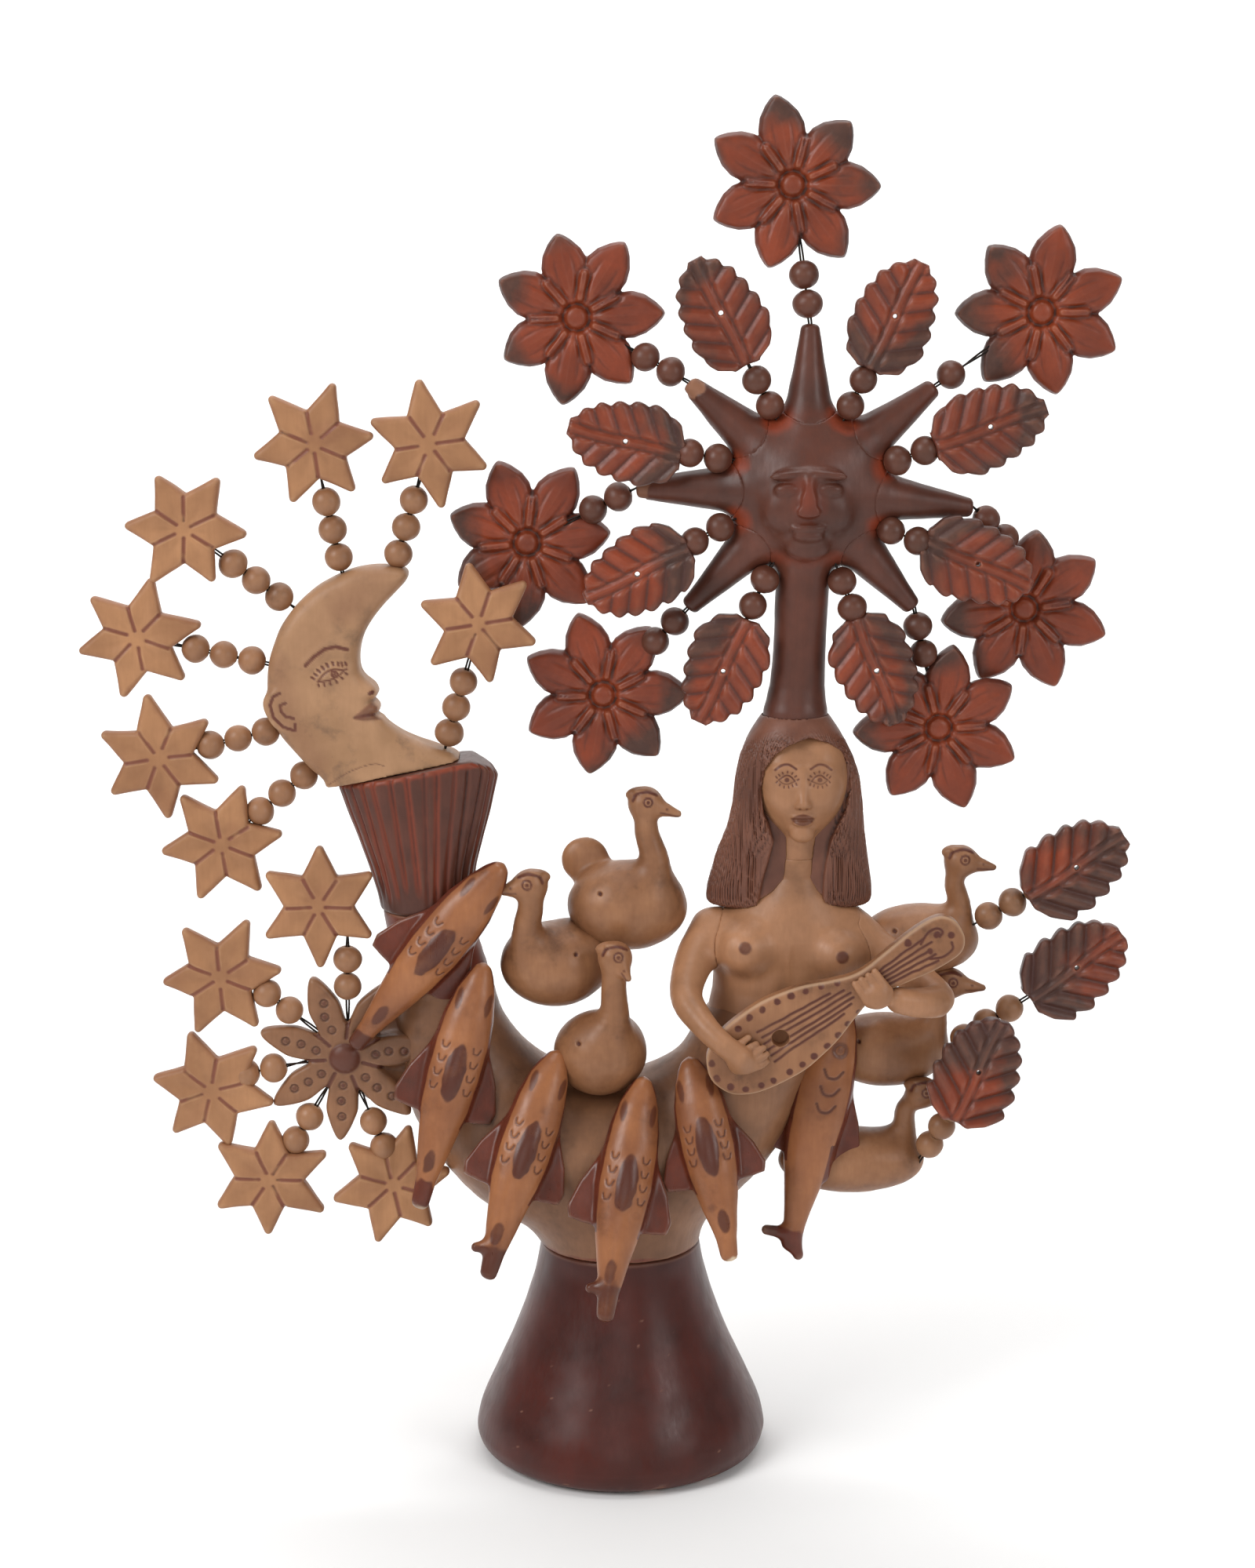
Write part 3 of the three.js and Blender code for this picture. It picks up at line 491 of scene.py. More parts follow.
def clay_look(name, slot, light, dark, smoke, slip, slip_dark, ink, chip="c9a888", rough=0.5, slip_rough=0.4,
              streak=(1, 1, 0.12), relief=0.12, smudge=0.5):
    """Burnished clay in two tones, with slip, painted shade in the hollows, worn edges, ink, pores and chips."""
    look = Look(name, slot)
    light, dark, smoke, slip, slip_dark, ink, chip = map(colour, (light, dark, smoke, slip, slip_dark, ink, chip))
    paint = look.node("ShaderNodeAttribute", attribute_name="paint")
    split = look.node("ShaderNodeSeparateColor", {"Color": paint.outputs["Color"]})
    ink_mask, slip_mask, cavity, chip_mask = *split.outputs[:3], paint.outputs["Alpha"]
    blotch = look.noise(28, 4, 0.6)
    cloud = look.noise(60, 5, 0.65)
    strokes = look.noise(420, 3, 0.6, streak)
    fine = look.noise(1500, 2, 0.6)
    pores = look.span(look.noise(700, 2, 0.5), 0.74, 0.8, 0, 0.35)
    tone = look.mix(look.span(blotch, 0.3, 0.7), light, dark)
    tone = look.mix(look.span(strokes, 0.35, 0.75, 0, 0.3), tone, dark)
    slipped = look.mix(look.span(cloud, 0.3, 0.7), slip, slip_dark)
    slipped = look.mix(look.span(strokes, 0.35, 0.75, 0, 0.25), slipped, slip_dark)
    ragged = look.span(look.maths("ADD", slip_mask, look.span(cloud, 0.3, 0.7, -0.12, 0.12)), 0.3, 0.7)
    tone = look.mix(ragged, tone, slipped)
    # Painted shade: the smoke colour laid into the hollows, where the sunk channel is high.
    painted_hollow_shade = look.span(cavity, 0.52, 0.8, 0, 0.85)
    tone = look.mix(painted_hollow_shade, tone, smoke)
    smudged = look.maths("MULTIPLY", look.span(cloud, 0.52, 0.72, 0, smudge), look.span(blotch, 0.45, 0.62))
    tone = look.mix(smudged, tone, smoke)
    tone = look.mix(look.span(cavity, 0.42, 0.12, 0, 0.28), tone, chip)
    inked = look.maths("MULTIPLY", ink_mask, look.span(cloud, 0.25, 0.5, 0.7, 1.0))
    tone = look.mix(inked, tone, ink)
    tone = look.mix(pores, tone, smoke)
    tone = look.mix(chip_mask, tone, chip)
    gloss = look.span(strokes, 0.2, 0.8, rough - 0.07, rough + 0.09)
    shine = look.span(strokes, 0.2, 0.8, slip_rough - 0.06, slip_rough + 0.08)
    level = look.mix(look.maths("MAXIMUM", ragged, inked), gloss, shine, "FLOAT")
    level = look.maths("ADD", level, look.maths("MULTIPLY", painted_hollow_shade, 0.12))
    level = look.maths("ADD", level, look.maths("MULTIPLY", chip_mask, 0.3))
    height = look.maths("ADD", look.maths("MULTIPLY", strokes, 0.7), look.maths("MULTIPLY", fine, 0.3))
    return look.finish(tone, level, relief, 0.0006, look.maths("SUBTRACT", height, pores))


def wire_look():
    look = Look("iron_wire", "iron_wire")
    rust = look.span(look.noise(300, 4, 0.65), 0.45, 0.7)
    look.shader.inputs["Metallic"].default_value = 0.7
    return look.finish(look.mix(rust, colour("1d1a18"), colour("3a2a20")), look.span(rust, 0, 1, 0.35, 0.65),
                       0.3, 0.0002, look.noise(2500, 2))


TAN = clay_look("tan_clay", "tan_clay", "a37350", "754c31", "432a1d", "783f2c", "5a3023", "55291d", rough=0.42,
                smudge=0.75)
# A paler copy of the tan clay for the woman: painted light on her face, neck, body and arms.
LIT_SKIN = clay_look("lit_tan_clay", "tan_clay", "b17f5c", "8c6244", "543626", "783f2c", "5a3023", "5e3425",
                 rough=0.42, smudge=0.3, chip="cfa988")
SHADED = clay_look("shaded_tan_clay", "tan_clay", "936748", "6c4831", "40291d", "7a3a28", "5c2c20", "5a3023",
                   rough=0.4, smudge=0.6)
MOONLIT = clay_look("moon_clay", "tan_clay", "b58a67", "96704f", "5c473a", "783f2c", "5a3023", "633628",
                    rough=0.48, smudge=0.75)
HAIR = clay_look("hair_slip", "umber_slip", "80523f", "5e382a", "3a221a", "8a3f2a", "6c3222", "3f241b",
                 rough=0.42, slip_rough=0.42, smudge=0.2, chip="a5745a")
PALE = clay_look("pale_clay", "pale_clay", "b28058", "8f6342", "66442f", "8a5136", "6e402c", "7a4532", rough=0.5,
                 relief=0.08, smudge=0.15, chip="d9b98f")
MAROON = clay_look("maroon_slip", "maroon_slip", "511c11", "3b140c", "260f0a", "6b3a2c", "4c251d", "2c1713",
                   rough=0.34, slip_rough=0.34, streak=(1, 1, 0.03), relief=0.06, smudge=0.2, chip="8a5f4c")
UMBER = clay_look("umber_slip", "umber_slip", "643729", "45261c", "2d1a13", "8a381f", "6c2f1b", "3a2019",
                  rough=0.4, slip_rough=0.45, smudge=0.3, chip="9a6b50")
RED = clay_look("red_slip", "red_slip", "8e3d20", "692c17", "3a1e15", "5a382b", "40271f", "4b2c27", rough=0.38,
                slip_rough=0.42, streak=(1, 1, 1), smudge=0.35, chip="b87a5f")
OCHRE = clay_look("ochre_slip", "ochre_slip", "a66c44", "7c4a2e", "4a2a1c", "6c3120", "4e2519", "532a1d",
                  rough=0.34, slip_rough=0.3, smudge=0.6, chip="d6bfa4")
WIRE = wire_look()

# ---------------------------------------------------------------- foot and hollow crescent
FOOT_WALL, FOOT_TREAD = 7.0, 61.5
FOOT_OUTLINE = [(68, 0), (73.5, 3.5), (76, 9), (75.8, 14), (73, 24), (66, 40), (57, 60), (49.5, 80), (44, 99),
                (41.5, 112.9)]
BOWL = vec(-8, 0, 253.3)
BOWL_HALF, BOWL_RISE, BOWL_STEPS, DEEPEST = 84.0, 95.0, 120, 0.626
CENTRELINE = smooth_path([(-100, 0, 292.3)] + [BOWL + vec(BOWL_HALF * math.cos(a), 0, BOWL_RISE * math.sin(a))
                                               for a in map(math.radians, range(180, 341, 20))], BOWL_STEPS)
BOWL_T = np.linspace(0, 1, BOWL_STEPS)
BOWL_R = np.where(BOWL_T < DEEPEST, 22 + 23 * ramp(BOWL_T / DEEPEST, 0, 1),
                  45 - 12 * ramp((BOWL_T - DEEPEST) / (1 - DEEPEST), 0, 1))


def on_bowl(t, roll, off=0.0):
    """A point on the crescent: roll 0 faces the front, 90 the inside of the crescent, -90 the outside."""
    ahead = np.array([np.interp(t, BOWL_T, np.gradient(CENTRELINE[:, k], BOWL_T)) for k in range(3)])
    ahead /= np.linalg.norm(ahead)
    here = np.array([np.interp(t, BOWL_T, CENTRELINE[:, k]) for k in range(3)])
    inward = vec(-ahead[2], 0, ahead[0])
    r = math.radians(roll)
    return here + (inward * math.sin(r) + vec(0, -1, 0) * math.cos(r)) * (np.interp(t, BOWL_T, BOWL_R) + off)


def foot():
    outer = smooth_path(FOOT_OUTLINE, 150)
    inner = (outer - (FOOT_WALL, 0))[::-1]
    inner[-8:, 0] = np.linspace(inner[-8, 0], FOOT_TREAD, 8)
    points, quads = turned(np.vstack([outer, inner]), 320)
    push = 0.7 * grain(points, 45, 1) + 0.16 * grain(points, 9, 2)
    bite = ramp(grain(points, (7, 7, 9), 3), 0.35, 0.6) * fade(points[:, 2], 1.5, 7)
    out = points[:, :2] / np.linalg.norm(points[:, :2], axis=1)[:, None]
    points[:, :2] += out * (push * ramp(points[:, 2], 0, 12) - 1.1 * bite)[:, None]
    specks = ramp(grain(points, 2.0, 5), 0.87, 0.93) * ramp(grain(points, 30, 6), 0.1, 0.3)
    publish("foot", points, quads, MAROON, chip=np.maximum(0.8 * bite, 0.7 * specks), size=0.8)


def crescent():
    clay = Clay((-150, -50, 108), (118, 50, 300), 1.1)
    clay.stroke(CENTRELINE[::3], BOWL_R[::3])
    x, y, z = clay.grids()
    neck = np.sqrt(x**2 + y**2) - np.interp(z, [108, 113, 125, 150, 170], [41.2, 41.2, 42, 43, 38])
    pad = clay.blank()
    pad.field = np.maximum(neck, z - 165).astype(np.float32)
    clay.merge(pad, 13)
    clay.keep(113.2 - z)
    clay.keep(np.where(x < -60, z - 292.1, -FAR))
    points, quads, normal = clay.skin()
    points = raised(points, normal, 0.55 * grain(points, 26, 7) + 0.15 * grain(points, 7, 8))
    edge = 279 - 0.5 * (points[:, 0] + 117) + 2 * grain(points, 6, 9)
    slip = np.where(points[:, 0] < -55, ramp(points[:, 2] - edge, -0.8, 0.8), 0)
    slip = np.maximum(slip, 0.75 * fade(points[:, 2] + 1.5 * grain(points, 10, 4), 113.5, 117))
    publish("crescent", points, quads, SHADED, slip=slip, size=0.8, sharp=50)


foot()
crescent()

# ---------------------------------------------------------------- ornaments on beaded wires
STAR_R, STAR_NOTCH, STAR_INSET, STAR_HALF = 32.0, 16.5, 3.0, 4.4
FLOWER_R, LEAF_LENGTH, LEAF_WIDTH = 43.0, 57.0, 40.0
BEAD_R, BEAD_FIRST, BEAD_PITCH = 7.1, 8.0, 14.4
WIRE_R, WIRE_OFF = 0.52, 0.72
PETAL_RUN = [0, 0.2, 0.36, 0.5, 0.64, 0.78, 0.9, 0.97, 1]
PETAL_HALF = [2, 6, 9.2, 11.2, 11.6, 9.6, 5.8, 2.6, 0.4]
LEAF_RUN = [0, 0.06, 0.2, 0.38, 0.6, 0.8, 0.93, 1]
LEAF_HALF = [0.3, 0.66, 0.95, 1, 0.92, 0.74, 0.46, 0.16]
BEAD_PROFILE = smooth_path(
    [(1.2, -6.2), (1.7, -6.85), (2.4, -6.9)]
    + [(1.02 * BEAD_R * math.cos(a), BEAD_R * math.sin(a)) for a in map(math.radians, range(-65, 66, 13))]
    + [(2.4, 6.9), (1.7, 6.85), (1.2, 6.2)], 22)


def star(seed):
    clay = slab(36, 36, 8, 0.62)
    u, v = clay.plane()
    rng = np.random.default_rng(seed)
    corners = []
    for i in range(12):
        reach = (STAR_NOTCH - 1.6 if i % 2 else STAR_R - STAR_INSET) * (1 + 0.03 * rng.normal())
        corners.append(polar(30 * i + 1.2 * rng.normal(), reach)[XZ])
    edge = outline_distance(u, v, np.array(corners)) - 0.72 * STAR_INSET
    r = np.hypot(u, v)
    from_notch = np.abs(np.arctan2(v, u) * 6 / (2 * math.pi) % 1 - 0.5) * 2
    top = STAR_HALF + 0.9 * ramp(from_notch, 1.0, 0.0) * ramp(r, 2, 12) * fade(r, 16, 32)
    points, quads, normal = clay.press(edge, top, STAR_HALF, 3.6).skin()
    rays = []
    for i in range(6):
        notch = 60 * i + 30 + 2 * rng.normal()
        start, end = 3.5 + 2.5 * rng.random(), STAR_NOTCH - 0.5 + rng.random()
        rays.append([polar(notch, start)[XZ], polar(notch, end)[XZ]])
    front = ramp(normal[:, 2], 0.0, 0.5)
    groove = drawn(points[:, :2], rays, 1.5, 0.6) * front
    ink = drawn(points[:, :2] + 0.25 * rng.normal(size=2), rays, 2.0, 0.45) * front
    points = raised(points, normal, 0.22 * grain(points, 9, seed) - 0.75 * groove)
    ink = ink * ramp(grain(points, 5, seed + 3), -0.9, -0.2)
    # Painted shade darkens the rim; the stain is the clay's own.
    rim = fade(0.8 * grain(points, 6, seed) - clay.under(edge, points), 0.4, 2.6)
    stain = ramp(grain(points, 14, seed + 7), 0.3, 0.9)
    return points, quads, {"ink": np.maximum(ink, 0.3 * rim + 0.16 * stain)}


def flower(seed):
    clay = slab(47, 47, 10, 0.62)
    u, v = clay.plane()
    rng = np.random.default_rng(seed)

    def petal_grid(a):
        return u * math.cos(a) + v * math.sin(a), np.abs(v * math.cos(a) - u * math.sin(a))

    edge, cushion = FAR, 0.0
    for i in range(7):
        run, across = petal_grid(math.radians(360 / 7 * i + 1.5 * rng.normal()))
        length = FLOWER_R * (1 + 0.02 * rng.normal())
        half = np.interp(np.clip(run / length, 0, 1), PETAL_RUN, PETAL_HALF)
        petal = np.where(run < 0, np.hypot(run, across), (across - half) * 0.8)
        petal = np.maximum(petal, run - length)
        edge = soft_min(edge, petal, 1.2)
        lens = np.sqrt(np.clip(1 - (across / np.maximum(half, 0.5)) ** 2, 0, 1)) * ramp(-petal, 0, 1.5)
        crease = swell(across - 0.42 * half, 1.1) * ramp(run, 9, 15) * fade(run, 24, 35)
        rib = swell(across, 1.0) * ramp(run, 10, 16) * fade(run, 28, 40)
        cushion = np.maximum(cushion, ramp(run, 7, 14) * (3.4 * lens - 0.75 * crease + 0.3 * rib))
    r = np.hypot(u, v)
    edge = soft_min(edge, r - 14.5, 2)
    top = 1.7 + cushion + 1.3 * fade(r, 9, 14)
    for i in range(7):
        run, across = petal_grid(math.radians(360 / 7 * (i + 0.5)))
        tongue = np.hypot(most(10 - run, run - 22, 0), across)
        top = top + 2.2 * fade(tongue, 0.7, 2.3) - 0.7 * swell(tongue - 3.1, 0.9)
    top = top - 1.3 * swell(r - 6.4, 1.0) + 0.5 * swell(r - 8.6, 1.0)
    top = top + 1.9 * np.sqrt(np.clip(1 - (r / 5.0) ** 2, 0, 1))
    points, quads, normal = clay.press(edge, top, 4.2, 1.6).skin()
    points = raised(points, normal, 0.25 * grain(points, 11, seed))
    reach = np.linalg.norm(points[:, :2], axis=1)
    heading = rng.uniform(0, 2 * math.pi)
    lean = (points[:, 0] * math.cos(heading) + points[:, 1] * math.sin(heading)) / FLOWER_R
    smoke = 0.14 + 0.36 * ramp(reach, 22, 42) + 0.5 * lean + 0.22 * grain(points, 17, seed + 5)
    smoke = smoke * ramp(reach, 10, 26) + 0.1 * grain(points, 6, seed + 9)
    # Painted shade darkens the rim of the petals.
    rim = fade(0.6 * grain(points, 6, seed) - clay.under(edge, points), 0.2, 3.4)
    back = ramp(-normal[:, 2], 0.2, 0.6)
    return points, quads, {"slip": smoke, "ink": np.maximum(0.55 * rim, 0.3 * back), "size": 0.35}


def leaf(seed, deep):
    """Its tip lies along +U. deep leaves are fluted and smoked more."""
    clay = slab(33, 25, 8, 0.62)
    u, v = clay.plane()
    rng = np.random.default_rng(seed)
    share = np.clip((u + LEAF_LENGTH / 2) / LEAF_LENGTH, 0, 1)
    half = LEAF_WIDTH / 2 * np.interp(share, LEAF_RUN, LEAF_HALF) * (1 + 0.06 * deep)
    away = np.abs(v - 0.6 * np.sin(u / 9))
    phase = (u + LEAF_LENGTH / 2 - away * (0.62 + deep * 0.16)) / (10.2 + deep * 1.2) + 0.12 * rng.normal()
    flute = np.abs(np.sin(math.pi * phase))
    edge = (away - half - (2.3 + 0.6 * deep) * flute + 1.1) * 0.8
    edge = np.maximum(edge, np.abs(u) - LEAF_LENGTH / 2 - 0.8 * flute)
    gentle = ramp(away, 1.0, 6.0)
    top = 2.4 + 0.8 * deep + (2.1 + 0.7 * deep) * (flute - 0.4) * gentle
    top = top + 0.6 * swell(away, 1.2) - 0.9 * swell(away - 2.8, 1.1)
    top = top + 0.9 * (1 - (away / 24) ** 2)
    clay.press(edge, top, 3.2, 2.2).dent(cone((0, 0, -9), (0, 0, 9), 1.25, 1.25), 0.6)
    points, quads, normal = clay.skin()
    points = raised(points, normal, 0.2 * grain(points, 9, seed))
    rim = ramp(np.hypot(points[:, 0] / 27, points[:, 1] / 19), 0.45, 1.05)
    heading = rng.uniform(0, 2 * math.pi)
    lean = (points[:, 0] * math.cos(heading) + points[:, 1] * math.sin(heading)) / 28
    smoke = 0.12 + 0.42 * rim + (0.42 + 0.25 * deep) * lean + 0.3 * grain(points, 13, seed + 4) + 0.32 * deep
    # Painted shade darkens the rim and the valleys of the flutes; on deep leaves one side is smoked too.
    rim = fade(0.6 * grain(points, 6, seed) - clay.under(edge, points), 0.2, 2.8)
    valley = (1 - clay.under(flute * gentle + 1 - gentle, points)) ** 2
    dark = 0.55 * np.maximum(rim, valley) + 0.25 * deep * ramp(lean, 0.2, 0.9)
    return points, quads, {"slip": smoke + 0.1 * grain(points, 4, seed), "ink": dark, "size": 0.35}


def bead(centre, way, seed):
    points, quads = turned(BEAD_PROFILE, 32)
    rng = np.random.default_rng(seed)
    points = points * (1 + 0.03 * rng.normal(size=3) * vec(1, 1, 0))
    points = raised(points, points / BEAD_R, 0.16 * grain(points, 5, seed))
    turn = Vector(way).to_track_quat("Z", "Y").to_matrix() @ Matrix.Rotation(rng.uniform(0, 6), 3, "Z")
    return points @ np.array(turn).T + centre, quads


def ornament(name, make, look, root, middle, beads, turn, start=0.0, aim=None, bead_look=TAN, seed=1):
    """A pressed ornament, its beads and its doubled wire, for one CAD node. The wire leaves along aim."""
    points, quads, paint = make(seed)
    tilt = np.random.default_rng(seed + 77).normal(size=2) * 0.035
    points[:, 2] += points[:, 0] * tilt[0] + points[:, 1] * tilt[1]
    publish(name, at_place(points, middle, turn), quads, look, **paint)
    run = middle - root
    if aim is not None:
        run = polar(aim, 1) * (run @ polar(aim, 1)) + vec(0, run[1], 0)
    length = np.linalg.norm(run)
    way = run / length
    for i in range(beads):
        points, quads = bead(root + way * (start + BEAD_FIRST + i * BEAD_PITCH), way, 50 * seed + i)
        publish(f"{name}_bead_{i + 1}", points, quads, bead_look, name, size=1.2)
    side = np.cross(way, vec(0, 1, 0))
    side /= np.linalg.norm(side)
    t = np.linspace(0, 1, 30)[:, None]
    twist = 2.2 * math.pi * t + seed
    for letter, sign in (("a", 1), ("b", -1)):
        off = WIRE_OFF * sign * (np.cos(twist) * side + np.sin(twist) * np.cross(way, side))
        publish(f"{name}_wire_{letter}", *strand(root + way * (-6 + t * (length - 4)) + off, WIRE_R), WIRE, name,
                size=2.0)


# Rows say the angle a wire leaves its carrier at, the angle and distance of the ornament's middle, how far back it
# lies and its own turn, as each table needs.
MOON, MOON_R = vec(-123, 0, 412.3), 56.0
ROSETTE = vec(-141.4, -17.4, 217.6)
SUN, SUN_R, SUN_DEEP = vec(93.9, 0, 508.4), 38.0, 23.0
# Each ray's angle and reach.
RAYS = [(90, 82), (139, 81), (180.5, 87), (225.5, 86), (-48.5, 82), (-7, 84), (39, 81)]
CHIN = MOON + vec(0.58 * MOON_R, 0, -0.74 * MOON_R)
# Leave, angle, distance, depth, turn.
MOON_STARS = [(235, 226.5, 117, -6, 8), (208, 200, 118, -6, 38), (173, 170, 122, -4, 15),
              (139.5, 140.5, 121, -14, 56), (107.5, 104, 122, -6, 10), (80.5, 76.5, 122, -6, 38)]
# Aim of the wire, angle, distance, turn.
ROSETTE_STARS = [(89, 98, 81, 30), (141, 145.5, 76, 5), (191, 194, 71, 48), (239, 238.5, 76, 26),
                 (292, 289, 72, 13)]
# Angle, distance, depth, beads, turn, aim of the wire.
SUN_FLOWERS = [(93.5, 149, 6, 2, 101, None), (144, 143, 6, 2, 105, None), (191.5, 144, 9, 2, 109, None),
               (226, 148, 8, 2, 105, None), (-61, 140, 2, 2, 80, None), (-29.5, 128, 14, 2, 85, -44),
               (37, 144, 6, 1, 77, None)]
# Leave, angle, distance, room before the first bead.
SUN_LEAVES = [(114.5, 117, 98, 2), (64, 64.5, 95, 2), (158.5, 165, 94.5, 4), (17.5, 19.5, 94.5, 2),
              (201.5, 206, 95, 4), (-28.5, -23.5, 92, 2), (244, 245, 100, 6), (-70, -69, 97, 5)]

for i, (leave, angle, far, deep, turn) in enumerate(MOON_STARS):
    ornament(f"moon_star_{i + 1}", star, PALE, MOON + polar(leave, MOON_R), MOON + polar(angle, far, deep), 3, turn,
             seed=i + 1)
ornament("moon_star_7", star, PALE, CHIN, CHIN + vec(20, -14, 71), 3, 41, start=6, seed=7)
for i, (aim, angle, far, turn) in enumerate(ROSETTE_STARS):
    ornament(f"rosette_star_{i + 1}", star, PALE, ROSETTE + polar(60 + (i + 0.5) * 360 / 7, 22),
             ROSETTE + polar(angle, far, -2), 2, turn, start=7.5, aim=aim, seed=i + 11)
for i, (angle, far, deep, beads, turn, aim) in enumerate(SUN_FLOWERS):
    ornament(f"sun_flower_{i + 1}", flower, RED, SUN + polar(*RAYS[i]), SUN + polar(angle, far, deep), beads, turn,
             start=1, aim=aim, bead_look=UMBER, seed=i + 21)
for i, (leave, angle, far, start) in enumerate(SUN_LEAVES):
    ornament(f"sun_leaf_{i + 1}", functools.partial(leaf, deep=0.0), RED,
             SUN + polar(leave, 0.95 * SUN_R, -0.3 * SUN_DEEP), SUN + polar(angle, far, -12), 2, angle, start=start,
             bead_look=UMBER, seed=i + 31)

# ---------------------------------------------------------------- sun on its stalk
STALK_Z = [382.4, 386, 390, 393, 396, 400, 408, 420, 440, 475, 505]
STALK_X = [88.2, 88.3, 88.4, 88.6, 88.7, 88.9, 89.5, 90.2, 91, 92.5, 93.5]
STALK_W = [14.2, 14.8, 15.6, 16.4, 16.2, 15.2, 13.9, 13.4, 13.4, 13.6, 15]
STALK_D = [12.8, 13.4, 14.2, 15, 14.8, 13.8, 12.6, 12, 12, 12.4, 14]
SUN_FACE = SUN + vec(-1.5, 0, -3)
SUN_NOSE = SUN_FACE + vec(0.5, 0, 0)
# Features are worked by adding or denting: place, radii, blend, turn.
SUN_EYES = [(Clay.dent, (10.5, -30.5, 5.5), (8, 4.2, 4.4), 3, 0),
            (Clay.add, (10.5, -25.0, 5.0), (6.2, 3.2, 3.0), 0.8, 0),
            (Clay.dent, (10.5, -28.6, 4.0), (6.4, 1.1, 0.5), 0.5, -5),
            (Clay.add, (10.5, -25.2, 12), (9, 3.0, 2.2), 2.5, -7), (Clay.add, (13, -20.5, -7), (7, 4.5, 8), 8, 0),
            (Clay.dent, (2.5, -32, -8), (1.2, 1.8, 1.0), 0.6, 0)]
SUN_MOUTH = [(Clay.dent, (0, -30.5, -10.8), (4, 2.0, 1.4), 2.5, 0),
             (Clay.add, (0, -26.8, -14.0), (8.4, 2.9, 1.9), 3, 0),
             (Clay.add, (0, -26.6, -18.0), (7.0, 2.9, 2.2), 3, 0),
             (Clay.dent, (0, -30.4, -15.9), (8.6, 1.7, 0.5), 0.7, 0),
             (Clay.add, (0, -20.5, -25), (10, 5.0, 6), 7, 0)]
# How pale the broken tips are.
RAY_CHIPS = {"sun_ray_2": 0.8, "sun_ray_3": 0.5}


def sun():
    disc = Clay((5, -30, 380), (184, 27, 594), 0.8, 10)
    parts = {"sun_face": disc}
    disc.add(egg(SUN, (SUN_R + 1, SUN_DEEP, SUN_R + 1)))
    disc.add(egg(SUN_FACE + vec(0, -9, 0), (24, 19, 28)), 5)
    disc.loft(STALK_Z, STALK_X, [0] * 11, STALK_W, STALK_D, 1.5, 9)
    disc.stroke([SUN_NOSE + vec(0, -26, 11), SUN_NOSE + vec(0, -29.5, 2), SUN_NOSE + vec(0, -31, -4.5)],
                [2.8, 3.0, 3.4], 4)
    disc.add(egg(SUN_NOSE + vec(0, -29, -6), (5.4, 3.0, 2.6)), 2)
    disc.features(SUN_NOSE, SUN_EYES, (-1, 1)).features(SUN_NOSE, SUN_MOUTH)
    x, _, z = disc.grids()
    for i, (angle, length) in enumerate(RAYS):
        ray = parts[f"sun_ray_{i + 1}"] = disc.blank()
        ray.add(cone(SUN + polar(angle, 20), SUN + polar(angle, length - 4.2), 15.2, 5.0))
        run = x * math.cos(math.radians(angle)) + z * math.sin(math.radians(angle)) - SUN @ polar(angle, 1)
        ray.keep(run - length + 0.6, 2.0)
    for name, share in family(parts, 9).items():
        points, quads, normal = share.skin()
        points = raised(points, normal, 0.25 * grain(points, 15, 3) + 0.08 * grain(points, 5, 6))
        rel = points - SUN
        reach = np.hypot(rel[:, 0], rel[:, 2])
        angle = np.degrees(np.arctan2(rel[:, 2], rel[:, 0]))
        gap = np.min([np.abs((angle - a + 180) % 360 - 180) for a, _ in RAYS], axis=0)
        crotch = ramp(gap, 8, 22) * ramp(reach, 28, 37) * fade(reach, 40, 54) * ramp(points[:, 2], 466, 486)
        blush = np.exp(-1.2 * np.hypot((rel[:, 0] + 3) / 17, (rel[:, 2] + 4) / 17) ** 2) * (rel[:, 1] < -14)
        seam = 0.32 * swell(reach - 38, 7) * (points[:, 2] > 440)
        slip = 0.62 * crotch + 0.56 * blush + seam + 0.25 * grain(points, 9, 12) * (crotch + blush)
        chip = np.zeros(len(points))
        if name in RAY_CHIPS:
            tip = SUN + polar(*RAYS[int(name[-1]) - 1]) + vec(0, -4, 0)
            chip = RAY_CHIPS[name] * ramp(9 + 2 * grain(points, 4, 8) - np.linalg.norm(points - tip, axis=1), 0, 1.0)
            points = raised(points, normal, -0.9 * chip)
        publish(name, points, quads, UMBER, slip=slip, chip=chip, size=1.4, sharp=50)


sun()

# ---------------------------------------------------------------- moon and pleated collar
SEAT_LEVEL, SEAT_SLOPE = -49.6, 0.203  # the cut by which the moon sits in the collar
MOON_OUTLINE = smooth_path([
    (8.2, 57.0), (14.0, 55.8), (16.6, 53.0), (15.2, 49.0), (9.9, 43.3), (2.3, 35.2), (-4.0, 26.5), (-7.2, 19.0),
    (-8.6, 11.4), (-8.1, 4.4), (-5.7, 0.4), (-1.6, -3.0), (0.6, -6.8), (-0.2, -9.4), (-2.3, -10.6), (0.6, -13.1),
    (1.5, -16.0), (-0.8, -18.2), (2.8, -20.4), (5.1, -23.3), (12.5, -28.3), (22.4, -32.8), (31.1, -36.0),
    (39.4, -39.4), (42, -47), (20, -56), (-6, -60), (-23, -59), (-27.8, -51.2), (-33.9, -45.5), (-41.3, -37.9),
    (-48.6, -29.9), (-52.8, -21.6), (-54.8, -12.5), (-55.3, -4), (-54.6, 6.4), (-52.0, 16.4), (-47.2, 27.7),
    (-38.4, 39.0), (-26.8, 48.3), (-13.4, 54.5), (-3.0, 56.9)], 160, closed=True)
EAR = [(-44, -3), (-50.9, -5.0), (-55.6, -7.6), (-57.4, -12.6), (-55.6, -18.9), (-51.4, -24.4), (-45, -27.6),
       (-40.5, -25.5), (-42, -14)]
